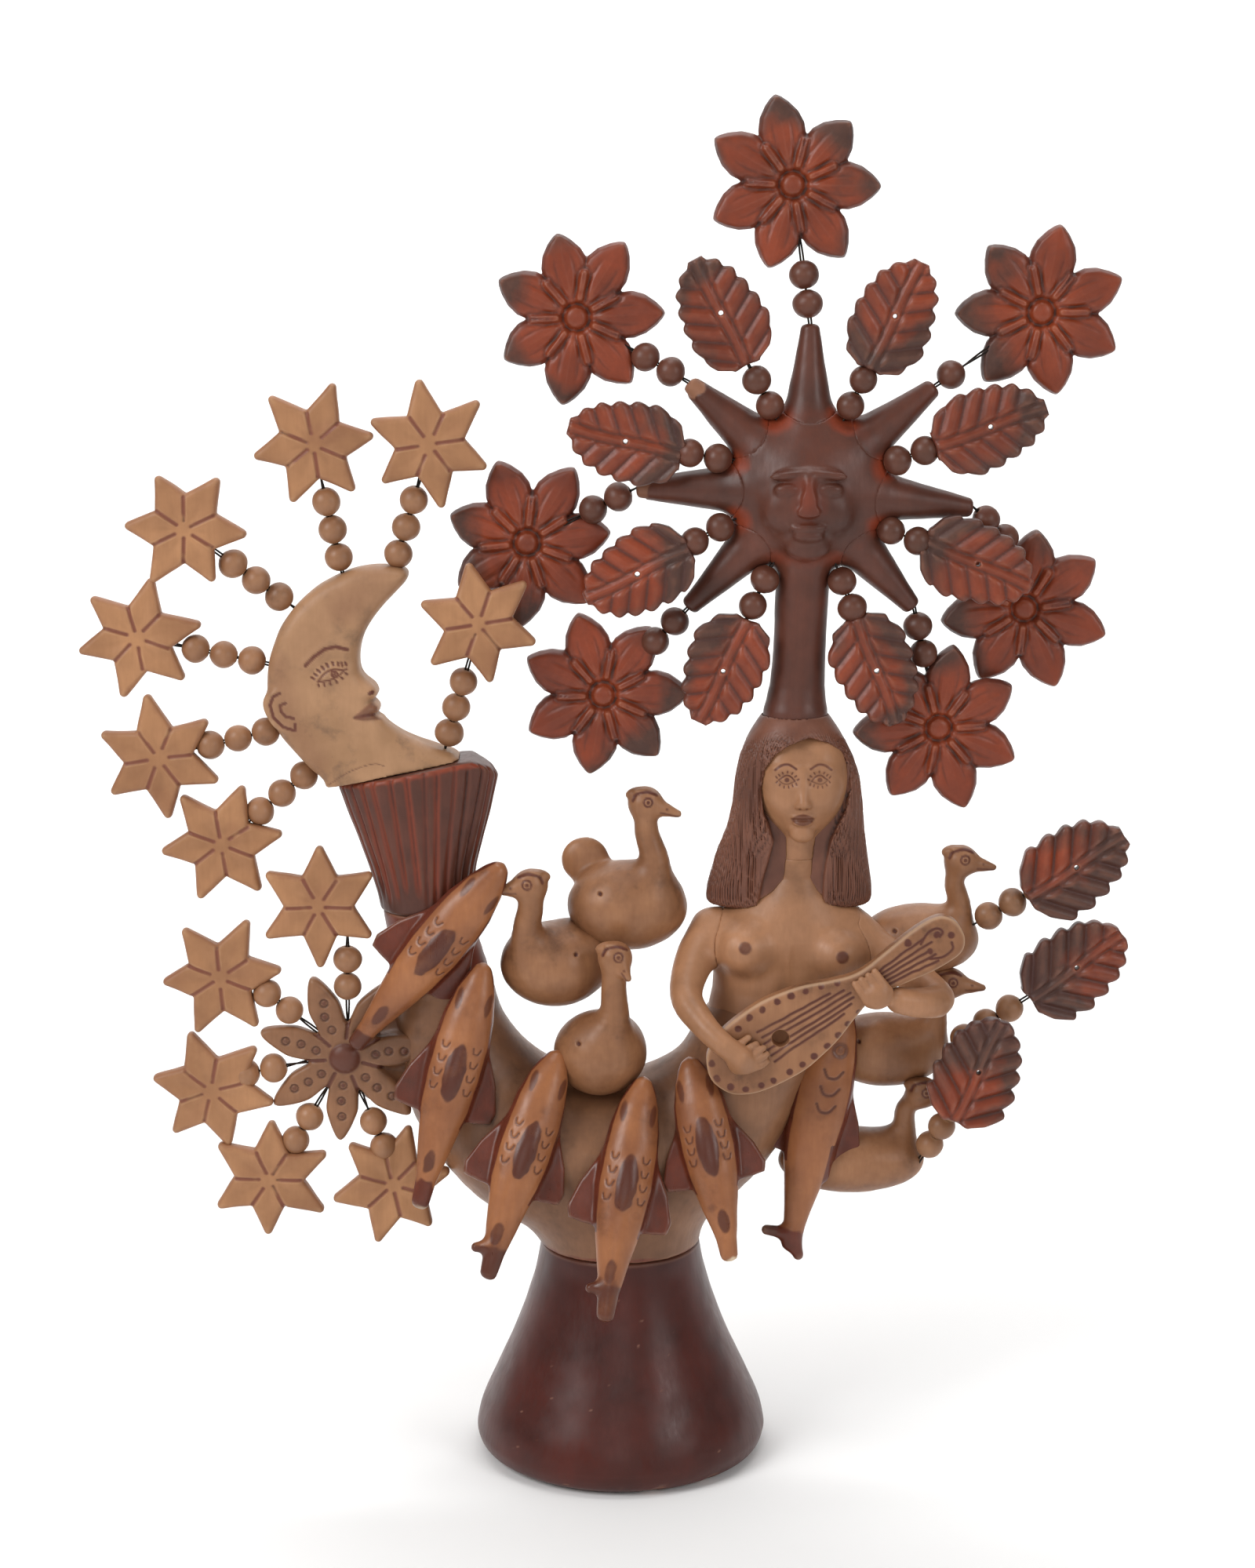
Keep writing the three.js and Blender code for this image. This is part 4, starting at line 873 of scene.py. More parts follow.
EAR_RIM = [(-48.3, -6.3), (-51.8, -8.2), (-53.6, -12.6), (-51.9, -18.9), (-47.0, -23.6), (-41.3, -25.4),
           (-40.8, -22.0)]
EAR_WHORL = [(-45.7, -11.4), (-48.4, -12.6), (-48.0, -15.7), (-45.4, -18.4), (-41.7, -19.1)]
BROW = [(-35.0, 8.0), (-30.8, 12.4), (-25.2, 16.4), (-19.7, 17.6), (-13.9, 16.1)]
LID = [(-29.0, -0.1), (-25.5, 3.9), (-21.1, 6.2), (-16.8, 5.9), (-14.1, 6.2)]
LOWER_LID = [(-29.0, -0.1), (-24.3, 0.5), (-19.4, 2.2), (-15.9, 5.2)]
PUPIL = [(-20.6, 3.9)]
LIPS = smooth_path([(-11.4, -18.9), (-7.3, -14.6), (-2.4, -11.4), (2.4, -11.6), (3.0, -15), (0.0, -17.3),
                    (5.0, -18.6), (4.0, -21.0), (-1.3, -20.4), (-7.4, -20.3)], 60, closed=True)
MOUTH = [(-11.0, -18.7), (-5, -17.6), (0.5, -17.5)]
# How much each place of the moon's face rises, how widely, and where.
MOON_RELIEF = [(1.5, 4.2, [(-1.5, -4.5), (-2.5, -6)]), (1.3, 5.0, [(-25, 2), (-19, 4)]), (0.9, 3, BROW),
               (-0.8, 3, [(-31, 5), (-22, 11), (-13, 10)]), (1.6, 13, [(-20, -14)])]
COLLAR_Z = [292.4, 300, 315, 330, 345, 362, 378]
COLLAR_X = [-100, -100.4, -101.3, -102.2, -103, -104, -104.6]
COLLAR_W = [23, 24.2, 27.8, 32.3, 37, 42, 45]
COLLAR_D = [23, 22.8, 22.3, 21.9, 21.5, 21, 20.6]
COLLAR_TOP = [-146, -115, -82, -76, -66, -60], [358.0, 363.8, 370.9, 371.6, 367.2, 361.5]


def lashes(path, out, count, lean):
    """Short dashes standing off a lid."""
    roots = smooth_path(path, count)
    ahead = np.gradient(roots, axis=0)
    away = np.stack([-ahead[:, 1], ahead[:, 0]], 1)
    away *= np.sign(out) / np.linalg.norm(away, axis=1)[:, None]
    return [[r + a * abs(out) * 0.55 + (lean * 0.3, 0), r + a * abs(out) + (lean, 0)]
            for r, a in zip(roots, away)]


def moon():
    clay = Clay((-62, -62, -21), (47, 61, 21), 0.75, 8)
    u, v = clay.plane()
    flat = np.stack(np.broadcast_arrays(u, v), -1)
    half = 12.6 + 5.6 * ramp(-v, 25, 52)
    top = half - 0.045 * np.clip(near(flat, [(-30, 20), (-25, -10)]) - 10, 0, 30)
    top = top + 1.1 * fade(outline_distance(u, v, LIPS), -2.2, 0.8) - 0.9 * fade(near(flat, MOUTH), 0.3, 1.3)
    for amount, width, path in MOON_RELIEF:
        top = top + amount * swell(near(flat, path), width)
    clay.press(outline_distance(u, v, MOON_OUTLINE), top, half, 8.5)
    lobe = clay.blank()
    lobe_top = 11.2 - 0.35 * np.clip(-52 - u, 0, 9) + 1.3 * swell(near(flat, EAR[1:7]), 2.2)
    lobe.press(outline_distance(u, v, smooth_path(EAR, 60, closed=True)), lobe_top, 4, 2.5)
    clay.merge(lobe, 2.0).keep((SEAT_LEVEL + SEAT_SLOPE * u - v)[:, :, None])
    points, quads, normal = clay.skin()
    front = ramp(normal[:, 2], 0.1, 0.5) * (points[:, 2] > 0)
    flat = points[:, :2]
    pupil, mouth = near(flat, PUPIL), near(flat, MOUTH)
    groove = most(
        drawn(flat, [BROW], 2.0), drawn(flat, [EAR_RIM, EAR_WHORL], 1.7),
        drawn(flat, [smooth_path(LID, 20), smooth_path(LOWER_LID, 20)], 0.9, 0.3),
        drawn(flat, lashes(LID, 3.4, 9, -0.6) + lashes(LOWER_LID, -2.4, 6, 0.2), 1.15, 0.3),
        ring(pupil, 1.5, 0.3, 0.7), fade(pupil, 0.5, 0.9))
    lips = fade(outline_distance(*flat.T, LIPS), -0.6, 0.4) * (0.75 + 0.25 * fade(mouth, 0.4, 1.2))
    ink = most(groove, fade(near(flat, [(-2.9, -6.4), (-1.9, -6.0)]), 0.9, 1.4), lips)
    points = raised(points, normal,
                    -(front * 0.45 * groove - 0.35 * grain(points, 17, 5) - 0.1 * grain(points, 5, 6)))
    crack = drawn(flat, [smooth_path([(-25, -53), (-14, -46), (-2, -42), (4, -43)], 40)], 0.5, 0.2) * front
    points = raised(points, normal, -0.35 * crack)
    smoke = swell(near(flat, [(-34, 20), (-14, 42), (2, 49)]), 13) * ramp(grain(points, 16, 9), -0.5, 0.6)
    smoke = np.maximum(smoke, 0.7 * swell(near(flat, [(-50, 8), (-44, -20), (-30, -42)]), 8))
    publish("moon", at_place(points, MOON, 0), quads, MOONLIT, ink=most(ink * front, 0.5 * crack, 0.42 * smoke),
            size=0.7, sharp=55)


def collar():
    clay = Clay((-152, -27, 290), (-54, 27, 380), 0.8, 6)
    x, y, z = clay.grids()
    clay.loft(COLLAR_Z, COLLAR_X, [0] * 7, COLLAR_W, COLLAR_D, 1.0)
    clay.keep(z - np.interp(x, *COLLAR_TOP), 3.0)
    clay.keep(-most(-158 - x, x + 81, np.abs(y) - 19, MOON[2] + SEAT_LEVEL + SEAT_SLOPE * (x - MOON[0]) - z))
    points, quads, normal = clay.skin()
    level = points[:, 2]
    cx, wx, wy = (np.interp(level, COLLAR_Z, a) for a in (COLLAR_X, COLLAR_W, COLLAR_D))
    phi = np.degrees(np.arctan2(-points[:, 1] / wy, (points[:, 0] - cx) / wx)) % 360
    rng = np.random.default_rng(5)
    groove = red = 0.0
    for k in range(30):
        centre = 12 * k + rng.uniform(-2.2, 2.2)
        start, end = rng.uniform(296, 306), rng.uniform(366, 380)
        bend = rng.uniform(-2, 2) * (level - 330) / 40
        gap = np.abs((phi - centre - bend + 180) % 360 - 180) * wx / 57.3
        here = ramp(level, start - 6, start + 6) * fade(level, end - 4, end)
        groove = np.maximum(groove, swell(gap, 1.3) * here * rng.uniform(0.6, 1))
        red = np.maximum(red, swell(gap, 1.7) * here * rng.uniform(0.2, 0.75))
    side = ramp(np.hypot(normal[:, 0], normal[:, 1]), 0.4, 0.8)
    points = raised(points, normal, 0.25 * grain(points, 12, 8) - 1.25 * groove * side)
    band = ramp(level - np.interp(points[:, 0], [-143, -82], [355.5, 367.5]), -1, 2)
    publish("collar", points, quads, UMBER, slip=0.22 + 0.85 * red * side + 0.6 * band * side, size=0.7, sharp=55)


moon()
collar()

# ---------------------------------------------------------------- rosette
ROSETTE_TURN = 60
# Turn and reach of the corners of each petal.
PETAL_CORNERS = ((0, 44.6), (14, 30.5), (25.7, 18.0), (37.4, 30.5))
ROSETTE_PADS = [((-114, -3, 216), (21, 24, 11)), ((-121, -7, 209), (20, 20, 8.5))]


def rosette():
    clay = Clay((-50, -50, -22), (50, 50, 9), 0.62, 10)
    corners = [polar(360 / 7 * i + turn, reach)[XZ] for i in range(7) for turn, reach in PETAL_CORNERS]
    edge = outline_distance(*clay.plane(), smooth_path(corners, 280, closed=True)) - 0.6
    clay.press(edge, 4.4, 4.2, 3.4)
    turn = math.radians(-ROSETTE_TURN)
    for place, radii in ROSETTE_PADS:
        x, y, z = vec(*place) - ROSETTE
        along, up = x * math.cos(turn) - z * math.sin(turn), x * math.sin(turn) + z * math.cos(turn)
        clay.add(egg((along, up, -y), radii), 6)
    clay.add(egg((0, 0, 2.8), (8.2, 8.2, 5.2)), 0.8)
    points, quads, normal = clay.skin()
    front = ramp(normal[:, 2], 0.1, 0.5)
    flat = points[:, :2]
    reach = np.hypot(*flat.T)
    rng = np.random.default_rng(8)
    grooves = []
    for i in range(7):
        a = 360 / 7 * (i + 0.5) + rng.uniform(-3, 3)
        grooves.append([polar(a, 9.5 + rng.uniform(0, 1.5))[XZ],
                        polar(a + rng.uniform(-3, 3), 20 + rng.uniform(-1, 1.5))[XZ]])
    ink = dent = drawn(flat, grooves, 1.9, 0.4)
    for i in range(7):
        for far in (15.5, 23.5, 31):
            away = near(flat, [polar(360 / 7 * i + rng.uniform(-3, 3), far + rng.uniform(-1, 1))[XZ]])
            dent = np.maximum(dent, ring(away, 1.9, 0.3, 0.9))
            ink = most(ink, fade(away, 0.9, 1.5) * rng.uniform(0.7, 1), 0.35 * ring(away, 1.9, 0.2, 0.8))
    points = raised(points, normal, 0.25 * grain(points, 10, 3) - 0.7 * dent * front * (reach < 36))
    publish("rosette", at_place(points, ROSETTE, ROSETTE_TURN), quads, SHADED,
            ink=np.maximum(ink, 0.95 * fade(reach, 7.6, 8.6)) * front, size=0.6)


rosette()

# ---------------------------------------------------------------- birds
LOW = on_bowl(0.574, 72, 20.8)
BIRDS = {  # middle of the body, its radii, points up the neck to the head, tip of the beak
    "left_bird_low": (LOW, (24, 23, 22), [(2, -8, 6), (7, -12, 22), (7, -12, 38), (8, -12, 53)], (15, -22, 44)),
    "left_bird_middle": (LOW + vec(-24, 14, 43), (27, 24, 22),
                         [(-9, -8, 4), (-13, -14, 20), (-11, -16, 34), (-11, -16, 45)], (-27, -19, 43)),
    "left_bird_top": (LOW + vec(14, 18, 73), (31, 23, 23),
                      [(10, -4, 6), (14, -8, 24), (10, -8, 40), (9, -8, 55)], (27, -11, 50)),
    "right_bird_top": (vec(154.3, 6, 273.8), (31, 20, 18),
                       [(14, -4, 2), (20, -6, 18), (17, -8, 32), (20, -8, 43)], (38, -10, 40)),
    "right_bird_middle": (vec(137.9, 8, 213.8), (33, 20, 19),
                          [(18, -2, 4), (25, -4, 16), (26, -5, 27), (32, -6, 37)], (51, -8, 35)),
    "right_bird_low": (on_bowl(0.898, -90, 40) + vec(0, 0, 3), (38, 19, 17),
                       [(21, 2, 2), (27, 0, 16), (28, -3, 29), (36, -6, 38)], (53, -8, 36)),
}
BIRD_LUMPS = {"left_bird_middle": ((14, 5, 5), (19, 17, 16), 10), "left_bird_top": ((-22, 12, 21), (12, 5.5, 12), 7)}
# Carrier, leave, distance, heading, depth.
BIRD_LEAVES = [("right_bird_top", 30, 62, 34, -12), ("right_bird_middle", 8, 80, 37, -14),
               ("right_bird_low", 12, 62, 66, -30)]


def bird(name, centre, size, neck, beak, seed):
    neck = [centre + vec(*p) for p in neck]
    head, beak = neck[-1], centre + vec(*beak)
    spots = np.vstack([neck, [beak], [centre - vec(*size)], [centre + vec(*size)]])
    clay = Clay(spots.min(0) - 14, spots.max(0) + 14, 0.75, 14)
    clay.add(egg(centre, size))
    if name in BIRD_LUMPS:
        place, radii, blend = BIRD_LUMPS[name]
        clay.add(egg(centre + vec(*place), radii), blend)
    slim = 0.76 if name.startswith("right") else 0.95
    clay.stroke(neck, [13 * slim, 9.2 * slim, 7.2 * slim, 6.6 * slim, 6.6 * slim], 10, steps=14)
    clay.add(egg(head + vec(0, 0, 0.5), (8.6, 7.4, 8.0)), 4)
    way = beak - head
    clay.stroke([head, head + 0.6 * way, beak - 0.08 * way], [5.6, 3.5, 1.9], 3.5)
    sign = 1 if way[0] > 0 else -1
    clay.features(head, [(Clay.add, (1.6, -6.4, 2.2), (2.3, 1.7, 2.3), 1.2, 0),
                         (Clay.add, (0.5, -4.2, 6.2), (6, 2.2, 1.7), 2, -12),
                         (Clay.add, (-6.0, 0, 5.6), (4.2, 3.2, 2.4), 2, 20)], (sign,))
    points, quads, normal = clay.skin()
    front = ramp(-normal[:, 1], -0.1, 0.35) * (points[:, 1] < head[1] + 2)
    flat = points[:, XZ]
    middle, tip = head[XZ], beak[XZ]
    eye = middle + (1.6 * sign, 2.2)
    away = near(flat, [eye])
    lip = middle + (tip - middle) * 0.45 + (0, -1.6)
    crest = [eye + (side * sign, up) for side, up in ((-8, 0.4), (-6, 3.8), (-0.5, 5.2), (4.5, 3.4))]
    dent = most(ring(away, 2.3, 0.25, 0.75), fade(away, 0.8, 1.3), drawn(flat, [smooth_path(crest, 16)], 1.4))
    ink = most(dent, 0.8 * drawn(flat, [[lip, tip + (-1.0 * sign, -0.8)]], 1.0),
               drawn(flat, [[middle + (tip - middle) * 0.62 + (0, 1.2)]], 1.2))
    hole = fade(near(flat, [centre[XZ] + (size[0] * 0.45 * -sign, size[2] * 0.45)]), 0.7, 1.3)
    points = raised(points, normal, 0.5 * grain(points, 19, seed) + 0.12 * grain(points, 5, seed)
                    - 0.27 * dent * front - 1.2 * hole * front)
    publish(name, points, quads, TAN, ink=np.maximum(ink, 0.9 * hole) * front, size=0.8)


for i, (name, row) in enumerate(BIRDS.items()):
    bird(name, *row, i + 60)
for i, (carrier, leave, far, heading, deep) in enumerate(BIRD_LEAVES):
    centre, size = BIRDS[carrier][:2]
    spot = polar(leave, 0.96)
    root = centre + vec(spot[0] * size[0], -8, spot[2] * size[2])
    ornament(f"bird_leaf_{i + 1}", functools.partial(leaf, deep=1.0), RED, root, root + polar(heading, far, deep), 3,
             heading, start=3, seed=i + 41)

# ---------------------------------------------------------------- fish
# Place along the crescent and roll round it, heading, swing outward at the tail, length.
FISH = [(0.03, 23, -129, 0, 125), (0.242, 10, -106, 12, 130), (0.454, 18, -110, 20, 122), (0.676, 12, -101, 22, 126),
        (0.84, 8, -77, 20, 106), (0.974, -72, -103, 8, 135)]
# The body along its length: sideways bend, half width, half depth, and half width clear of the fins.
FISH_BEND = (0, 1.5, 3.0, 2.0, -1.5, 2.0)
FISH_RUN = [0, 0.015, 0.05, 0.12, 0.22, 0.32, 0.45, 0.58, 0.7, 0.8, 0.88, 0.95, 1]
FISH_WIDE = [2.6, 4.4, 6.8, 10.0, 13.0, 14.3, 14.3, 12.6, 9.8, 7.2, 5.3, 4.6, 4.0]
FISH_DEEP = [2.6, 4.0, 5.8, 8.2, 10.0, 10.9, 11.0, 9.8, 7.8, 6.0, 4.6, 3.6, 2.6]
FISH_BARE = [2, 3, 5, 9, 11, 12, 12.2, 11, 8, 6, 5, 4, 4]
FIN = [(0.2, 3), (0.33, 14), (0.46, 22.5), (0.56, 26.5), (0.605, 25), (0.615, 17), (0.62, 4)]
TAIL_FORKS = {3: [(0.9, 0.88, -7.5)], 4: [(0.9, 0.87, -8)], 6: [(0.97, 0.93, -12), (0.96, 1.0, 7)]}
TAIL_FROM = {1: (0.9, 0.92), 2: (0.86, 0.9), 3: (0.85, 0.87), 4: (0.83, 0.85), 5: (2, 3), 6: (0.88, 0.93)}
INKED_TAILS, SLIPPED_TAILS, CHIPPED_TAILS = (1, 3, 4), (2, 6), {2: 0.5, 5: 1.0}


def gilled_marks(flat):
    """The sixth fish: gills and a ringed eye."""
    gills = [smooth_path([(a, -3), (a + 3.6, -0.5), (a + 3.4, 4), (a - 0.5, 7)], 14) for a in (36, 45, 54)]
    eye = near(flat, [(25, 3)])
    ink = most(0.85 * drawn(flat, gills, 1.5), 0.75 * ring(eye, 3.4, 0.5, 1.6), 0.6 * fade(eye, 1.4, 2.2))
    return ink, np.maximum(drawn(flat, gills, 1.3), ring(eye, 2.6, 0.3, 0.8))


def scaled_marks(flat, points, length, number):
    """The other fish: an oval back, a spot by the tail, scales and eyes."""
    run, across = flat.T
    rough = 0.09 * grain(points, 3.5, number)
    oval = np.hypot((run - 0.44 * length) / 15.5, across / 5.6)
    spot = np.hypot((run - 0.8 * length) / 6.5, across / 3.0)
    arcs, eyes = [], []
    for sign in (-1, 1):
        for k in range(4):
            a, b = (0.34 + 0.055 * k) * length, sign * (8.2 + 0.25 * k)
            scale = [(a - 1.6, b - 1.8), (a + 1.0, b - 1.1), (a + 1.2, b + 0.9), (a - 1.4, b + 2.0)]
            arcs.append(smooth_path(scale, 10))
        eyes.append(fade(np.hypot((run - 0.155 * length) / 6.0, (across - sign * 7.6) / 1.8) + rough, 0.8, 1.1))
    arc = drawn(flat, arcs, 0.85, 0.3)
    return most(fade(oval + rough, 0.92, 1.02), 0.9 * fade(spot + 2 * rough, 0.85, 1.1), 0.75 * arc,
                0.8 * most(*eyes)), arc


def fish(number, t, roll, heading, swing, length):
    swing = math.radians(swing)
    down = polar(heading, math.cos(swing)) + vec(0, -math.sin(swing), 0)
    reach = math.hypot(14 * math.sin(math.radians(roll)), 11 * math.cos(math.radians(roll)))
    nose = on_bowl(t, roll, reach - 4.5) - 0.36 * length * down
    side = -np.cross(vec(0, 1, 0), down)
    side /= np.linalg.norm(side)
    clay = Clay((-4, -31, -15), (length + 4, 31, 16), 0.72, 6)
    u, v, w = clay.grids()
    s = u / length
    bend = FISH_BEND[number - 1] * (np.clip(s, 0, 1) ** 2 * 2 - np.clip(s, 0, 1))
    wide = np.interp(s, FISH_RUN, FISH_WIDE) * (1.08 if number == 6 else 1)
    deep = np.interp(s, FISH_RUN, FISH_DEEP)
    body = (np.sqrt(((v - bend) / wide) ** 2 + (w / deep) ** 2) - 1) * np.minimum(wide, deep)
    clay.field = soft_max(body, np.maximum(-u - 0.5, u - length + 1), 3.5).astype(np.float32)
    for sign in (-1, 1):
        edge = outline_distance(*clay.plane(), np.array([(a * length, b * sign) for a, b in FIN])) - 0.4
        flap = soft_max(edge[:, :, None], np.abs(w + 0.8 + 0.12 * np.abs(v)) - 1.7, 1.6)
        clay.field = soft_min(clay.field, flap, 2.2).astype(np.float32)
    for start, end, off in TAIL_FORKS.get(number, []):
        clay.stroke([(start * length - 6, 0, 0), (end * length, off, 0)], [3.4, 2.6], 3.5)
    if number == 6:
        clay.stroke([(0.6 * length, 9, 0), (0.68 * length, 11, 0)], [3, 2.2], 3)
    else:
        ridge = clay.blank().add(egg((0.44 * length, 0, 9.2), (15.5, 5.6, 3.0)))
        clay.merge(ridge, 1.5)
    points, quads, normal = clay.skin()
    flat, share = points[:, :2], points[:, 0] / length
    front = ramp(normal[:, 2], 0.0, 0.35)
    tail = ramp(share + 0.02 * grain(points, 4, number), *TAIL_FROM[number])
    red = ramp(np.abs(points[:, 1]) - np.interp(share, FISH_RUN, FISH_BARE), 0, 1.6) * (share < 0.65)
    ink, dent = gilled_marks(flat) if number == 6 else scaled_marks(flat, points, length, number)
    if number in INKED_TAILS:
        ink = np.maximum(ink, 0.95 * tail)
    if number in SLIPPED_TAILS:
        red = np.maximum(red, tail)
    if number == 6:
        red = np.maximum(red, ramp(points[:, 1], 9, 11) * (share > 0.55))
    chip = CHIPPED_TAILS.get(number, 0) * ramp(share + 0.012 * grain(points, 2.5, 9), 0.975, 0.985)
    stain = ramp(grain(points, 9, number + 3), 0.35, 0.8) * 0.35 * (share > 0.5)
    points = raised(points, normal,
                    -(0.45 * dent * front - 0.3 * grain(points, 12, number) + 0.5 * chip * grain(points, 2.2, 4)))
    world = nose + points[:, :1] * down + points[:, 1:2] * side + points[:, 2:3] * np.cross(down, side)
    publish(f"fish_{number}", world, quads, OCHRE, ink=ink * np.maximum(front, tail), slip=np.maximum(red, stain),
            chip=chip, size=0.7)


for i, row in enumerate(FISH):
    fish(i + 1, *row)

# ---------------------------------------------------------------- woman and arms
FACE = vec(92, -4, 360)
NECK_CUT = 320.0
GUITAR_END, GUITAR_SLOPE, GUITAR_LENGTH = vec(45.9, -46, 214.8), 32.5, 147.0
TORSO_Z = [214, 222, 236, 250, 264, 278, 288, 296, 303, 310, 322, 338]
TORSO_X = [70, 72.5, 79, 83.5, 85.5, 86.5, 87, 88, 89, 90, 91, 92]
TORSO_Y = [0, 0, 0, 0, 0, -1, -1, -1, -1.5, -2, -3, -3]
TORSO_W = [32, 33, 34.5, 36, 37.5, 38.5, 36, 27, 17.5, 12, 10.6, 11]
TORSO_D = [29, 28, 26, 24, 22.5, 21.5, 19, 16, 13, 11, 10.4, 11]
RIGHT_ARM = [(47, 0, 280), (38, -14, 268), (33.3, -32, 254), (41, -46, 243.5), (50, -54, 236), (60, -57.5, 229.5)]
LEFT_ARM = [(117, 0, 280), (136, -9, 270), (152, -21, 259), (161, -33, 252.5), (152, -42, 253), (140, -48, 256)]
BROAD_CHEEKS = [(Clay.add, (9, -2, 3), (13.5, 17, 22), 6, 0)]
HEAD_SIDES = [(Clay.dent, (8.2, -21.4, 4.2), (5.6, 3.2, 3.4), 3, 0),
              (Clay.add, (8.2, -16.6, 3.8), (4.5, 3.3, 2.5), 1, 0),
              (Clay.add, (8.6, -16.8, 9.6), (6.6, 2.6, 1.7), 3, -8), (Clay.add, (10, -13, -6), (6.5, 5, 7), 5, 0),
              (Clay.add, (2.7, -19.8, -9.2), (1.9, 2.2, 1.7), 1.2, 0)]
HEAD_MOUTH = [(Clay.add, (0, -18.4, -15.2), (5.9, 2.5, 1.5), 1.4, 0),
              (Clay.add, (0, -18.2, -18.4), (5.0, 2.6, 1.8), 1.4, 0),
              (Clay.dent, (0, -21.2, -16.7), (5.6, 1.7, 0.5), 0.7, 0),
              (Clay.add, (0, -14.6, -25), (6, 4.4, 4.6), 4, 0)]
HEAD_BROW = [(3.6, 9.3), (7.2, 11.6), (11.0, 11.2), (14.2, 8.8)]
HEAD_LID = [(4.2, 3.0), (6.2, 5.4), (9.0, 6.0), (12.4, 3.6)]
HEAD_LOWER_LID = [(4.2, 3.0), (7.5, 1.7), (10.2, 1.9), (12.4, 3.6)]


def on_guitar(run, rise, forward=0.0):
    return GUITAR_END + polar(GUITAR_SLOPE, run) + polar(GUITAR_SLOPE + 90, rise) + vec(0, -5 - forward, 0)


def torso(clay, spare=0.0):
    return clay.loft(TORSO_Z, TORSO_X, TORSO_Y, [w + spare for w in TORSO_W], [d + spare for d in TORSO_D], 2)


def skin_grain(points):
    return 0.35 * grain(points, 21, 2) + 0.1 * grain(points, 6, 4)


def woman():
    body = torso(Clay((17, -66, 206), (176, 34, NECK_CUT), 0.75, 10))
    for x, z in ((64, 274), (111.5, 270.5)):
        body.add(egg((x, -15.5, z), (14.5, 13, 13.5)), 6)
    body.dent(egg((86, -33, 252), (3, 11, 20)), 8)
    right = body.blank().stroke(RIGHT_ARM, [11.5, 10.2, 8.8, 7.6, 6.0, 5.4], 0, steps=22)
    left = body.blank().stroke(LEFT_ARM, [11.5, 10.2, 9.4, 8.8, 8.2, 6.8], 0, steps=24)
    right.add(egg(on_guitar(19, 0, 4), (7.6, 3.9, 5.4), 14), 5)
    left.add(egg(on_guitar(94, -6, 4), (7.6, 4.6, 7.0), 20), 5)
    for rise, run in ((5.5, 29.5), (1.8, 31.5), (-1.8, 31), (-5, 29)):
        finger = on_guitar(20, 0.6 * rise, 4.2), on_guitar(run - 4, rise, 4.4), on_guitar(run, rise - 0.6, 2.4)
        right.stroke(finger, [2.4, 1.9, 1.5], 1.0, steps=8)
    thumb = on_guitar(16, 4, 4.0), on_guitar(22, 9, 3.4), on_guitar(28, 9.8, 2.2)
    right.stroke(thumb, [2.6, 2.1, 1.6], 1.0, steps=8)
    for run in (88.5 + 3.9 * k for k in range(4)):
        finger = on_guitar(run, -7, 3.5), on_guitar(run - 0.3, -1, 4.2), on_guitar(run - 0.8, 5.2, 2.8)
        left.stroke(finger, [2.4, 2.1, 1.7], 1.0, steps=8)
    for name, share in family({"woman": body, "right_arm": right, "left_arm": left}, 8).items():
        points, quads, normal = share.skin()
        ink = 0
        if name == "woman":
            front = ramp(-normal[:, 1], 0, 0.4) * (points[:, 1] < -15)
            ink = drawn(points[:, XZ], [[(63.2, 277.5)], [(112.6, 272.8)]], 6.4, 0.6) * front
            points = raised(points, normal, 0.35 * ink)
            # Painted shade: the torso darkens towards the bottom, where it runs into the shaded crescent.
            ink = np.maximum(ink, 0.42 * fade(points[:, 2] + 4 * grain(points, 14, 5), 214, 262))
        publish(name, raised(points, normal, skin_grain(points)), quads, LIT_SKIN, ink=ink, size=1.2, sharp=55)


def woman_head():
    head = torso(Clay((60, -36, NECK_CUT - 0.8), (124, 24, 394), 0.42, 8))
    head.add(egg(FACE + vec(0, 2, 2), (22.5, 20, 28.5)), 6)
    head.add(egg(FACE + vec(0, -4, -7), (19.5, 16.5, 20.5)), 5)
    head.features(FACE, BROAD_CHEEKS, (-1, 1)).features(FACE, HEAD_SIDES, (-1, 1))
    head.stroke([FACE + vec(0, -17.4, 6.5), FACE + vec(0, -19.8, -2), FACE + vec(0, -21.8, -8)], [1.9, 2.0, 2.5], 3,
                steps=8)
    head.features(FACE, HEAD_MOUTH).keep(NECK_CUT - 0.25 - head.grids()[2])
    points, quads, normal = head.skin()
    flat = points[:, XZ] - FACE[XZ]
    half = np.stack([np.abs(flat[:, 0]), flat[:, 1]], 1)
    lip_line = np.hypot(flat[:, 0] / 6.1, (flat[:, 1] + 16.7) / (3.3 - 0.175 * half[:, 0] ** 0.9))
    ink = most(
        drawn(half, [smooth_path(HEAD_BROW, 16)], 1.2), drawn(half, [smooth_path(HEAD_LID, 16)], 0.7, 0.25),
        0.8 * drawn(half, [smooth_path(HEAD_LOWER_LID, 16)], 0.5, 0.25),
        drawn(half, lashes(HEAD_LID, 2.2, 7, 0.0) + lashes(HEAD_LOWER_LID, -1.8, 6, 0.0), 0.7, 0.25),
        drawn(half, [[(8.3, 3.8)]], 2.6, 0.3), 0.8 * drawn(half, [[(1.7, -10.6)]], 1.3, 0.3),
        0.85 * fade(lip_line, 0.85, 1.05) * (half[:, 0] < 6.1)) * ramp(-normal[:, 1], 0.05, 0.35)
    points = raised(points, normal, skin_grain(points) - 0.22 * ink)
    publish("woman_head", points, quads, LIT_SKIN, "woman", ink=ink, size=0.7, sharp=55)


woman()
woman_head()

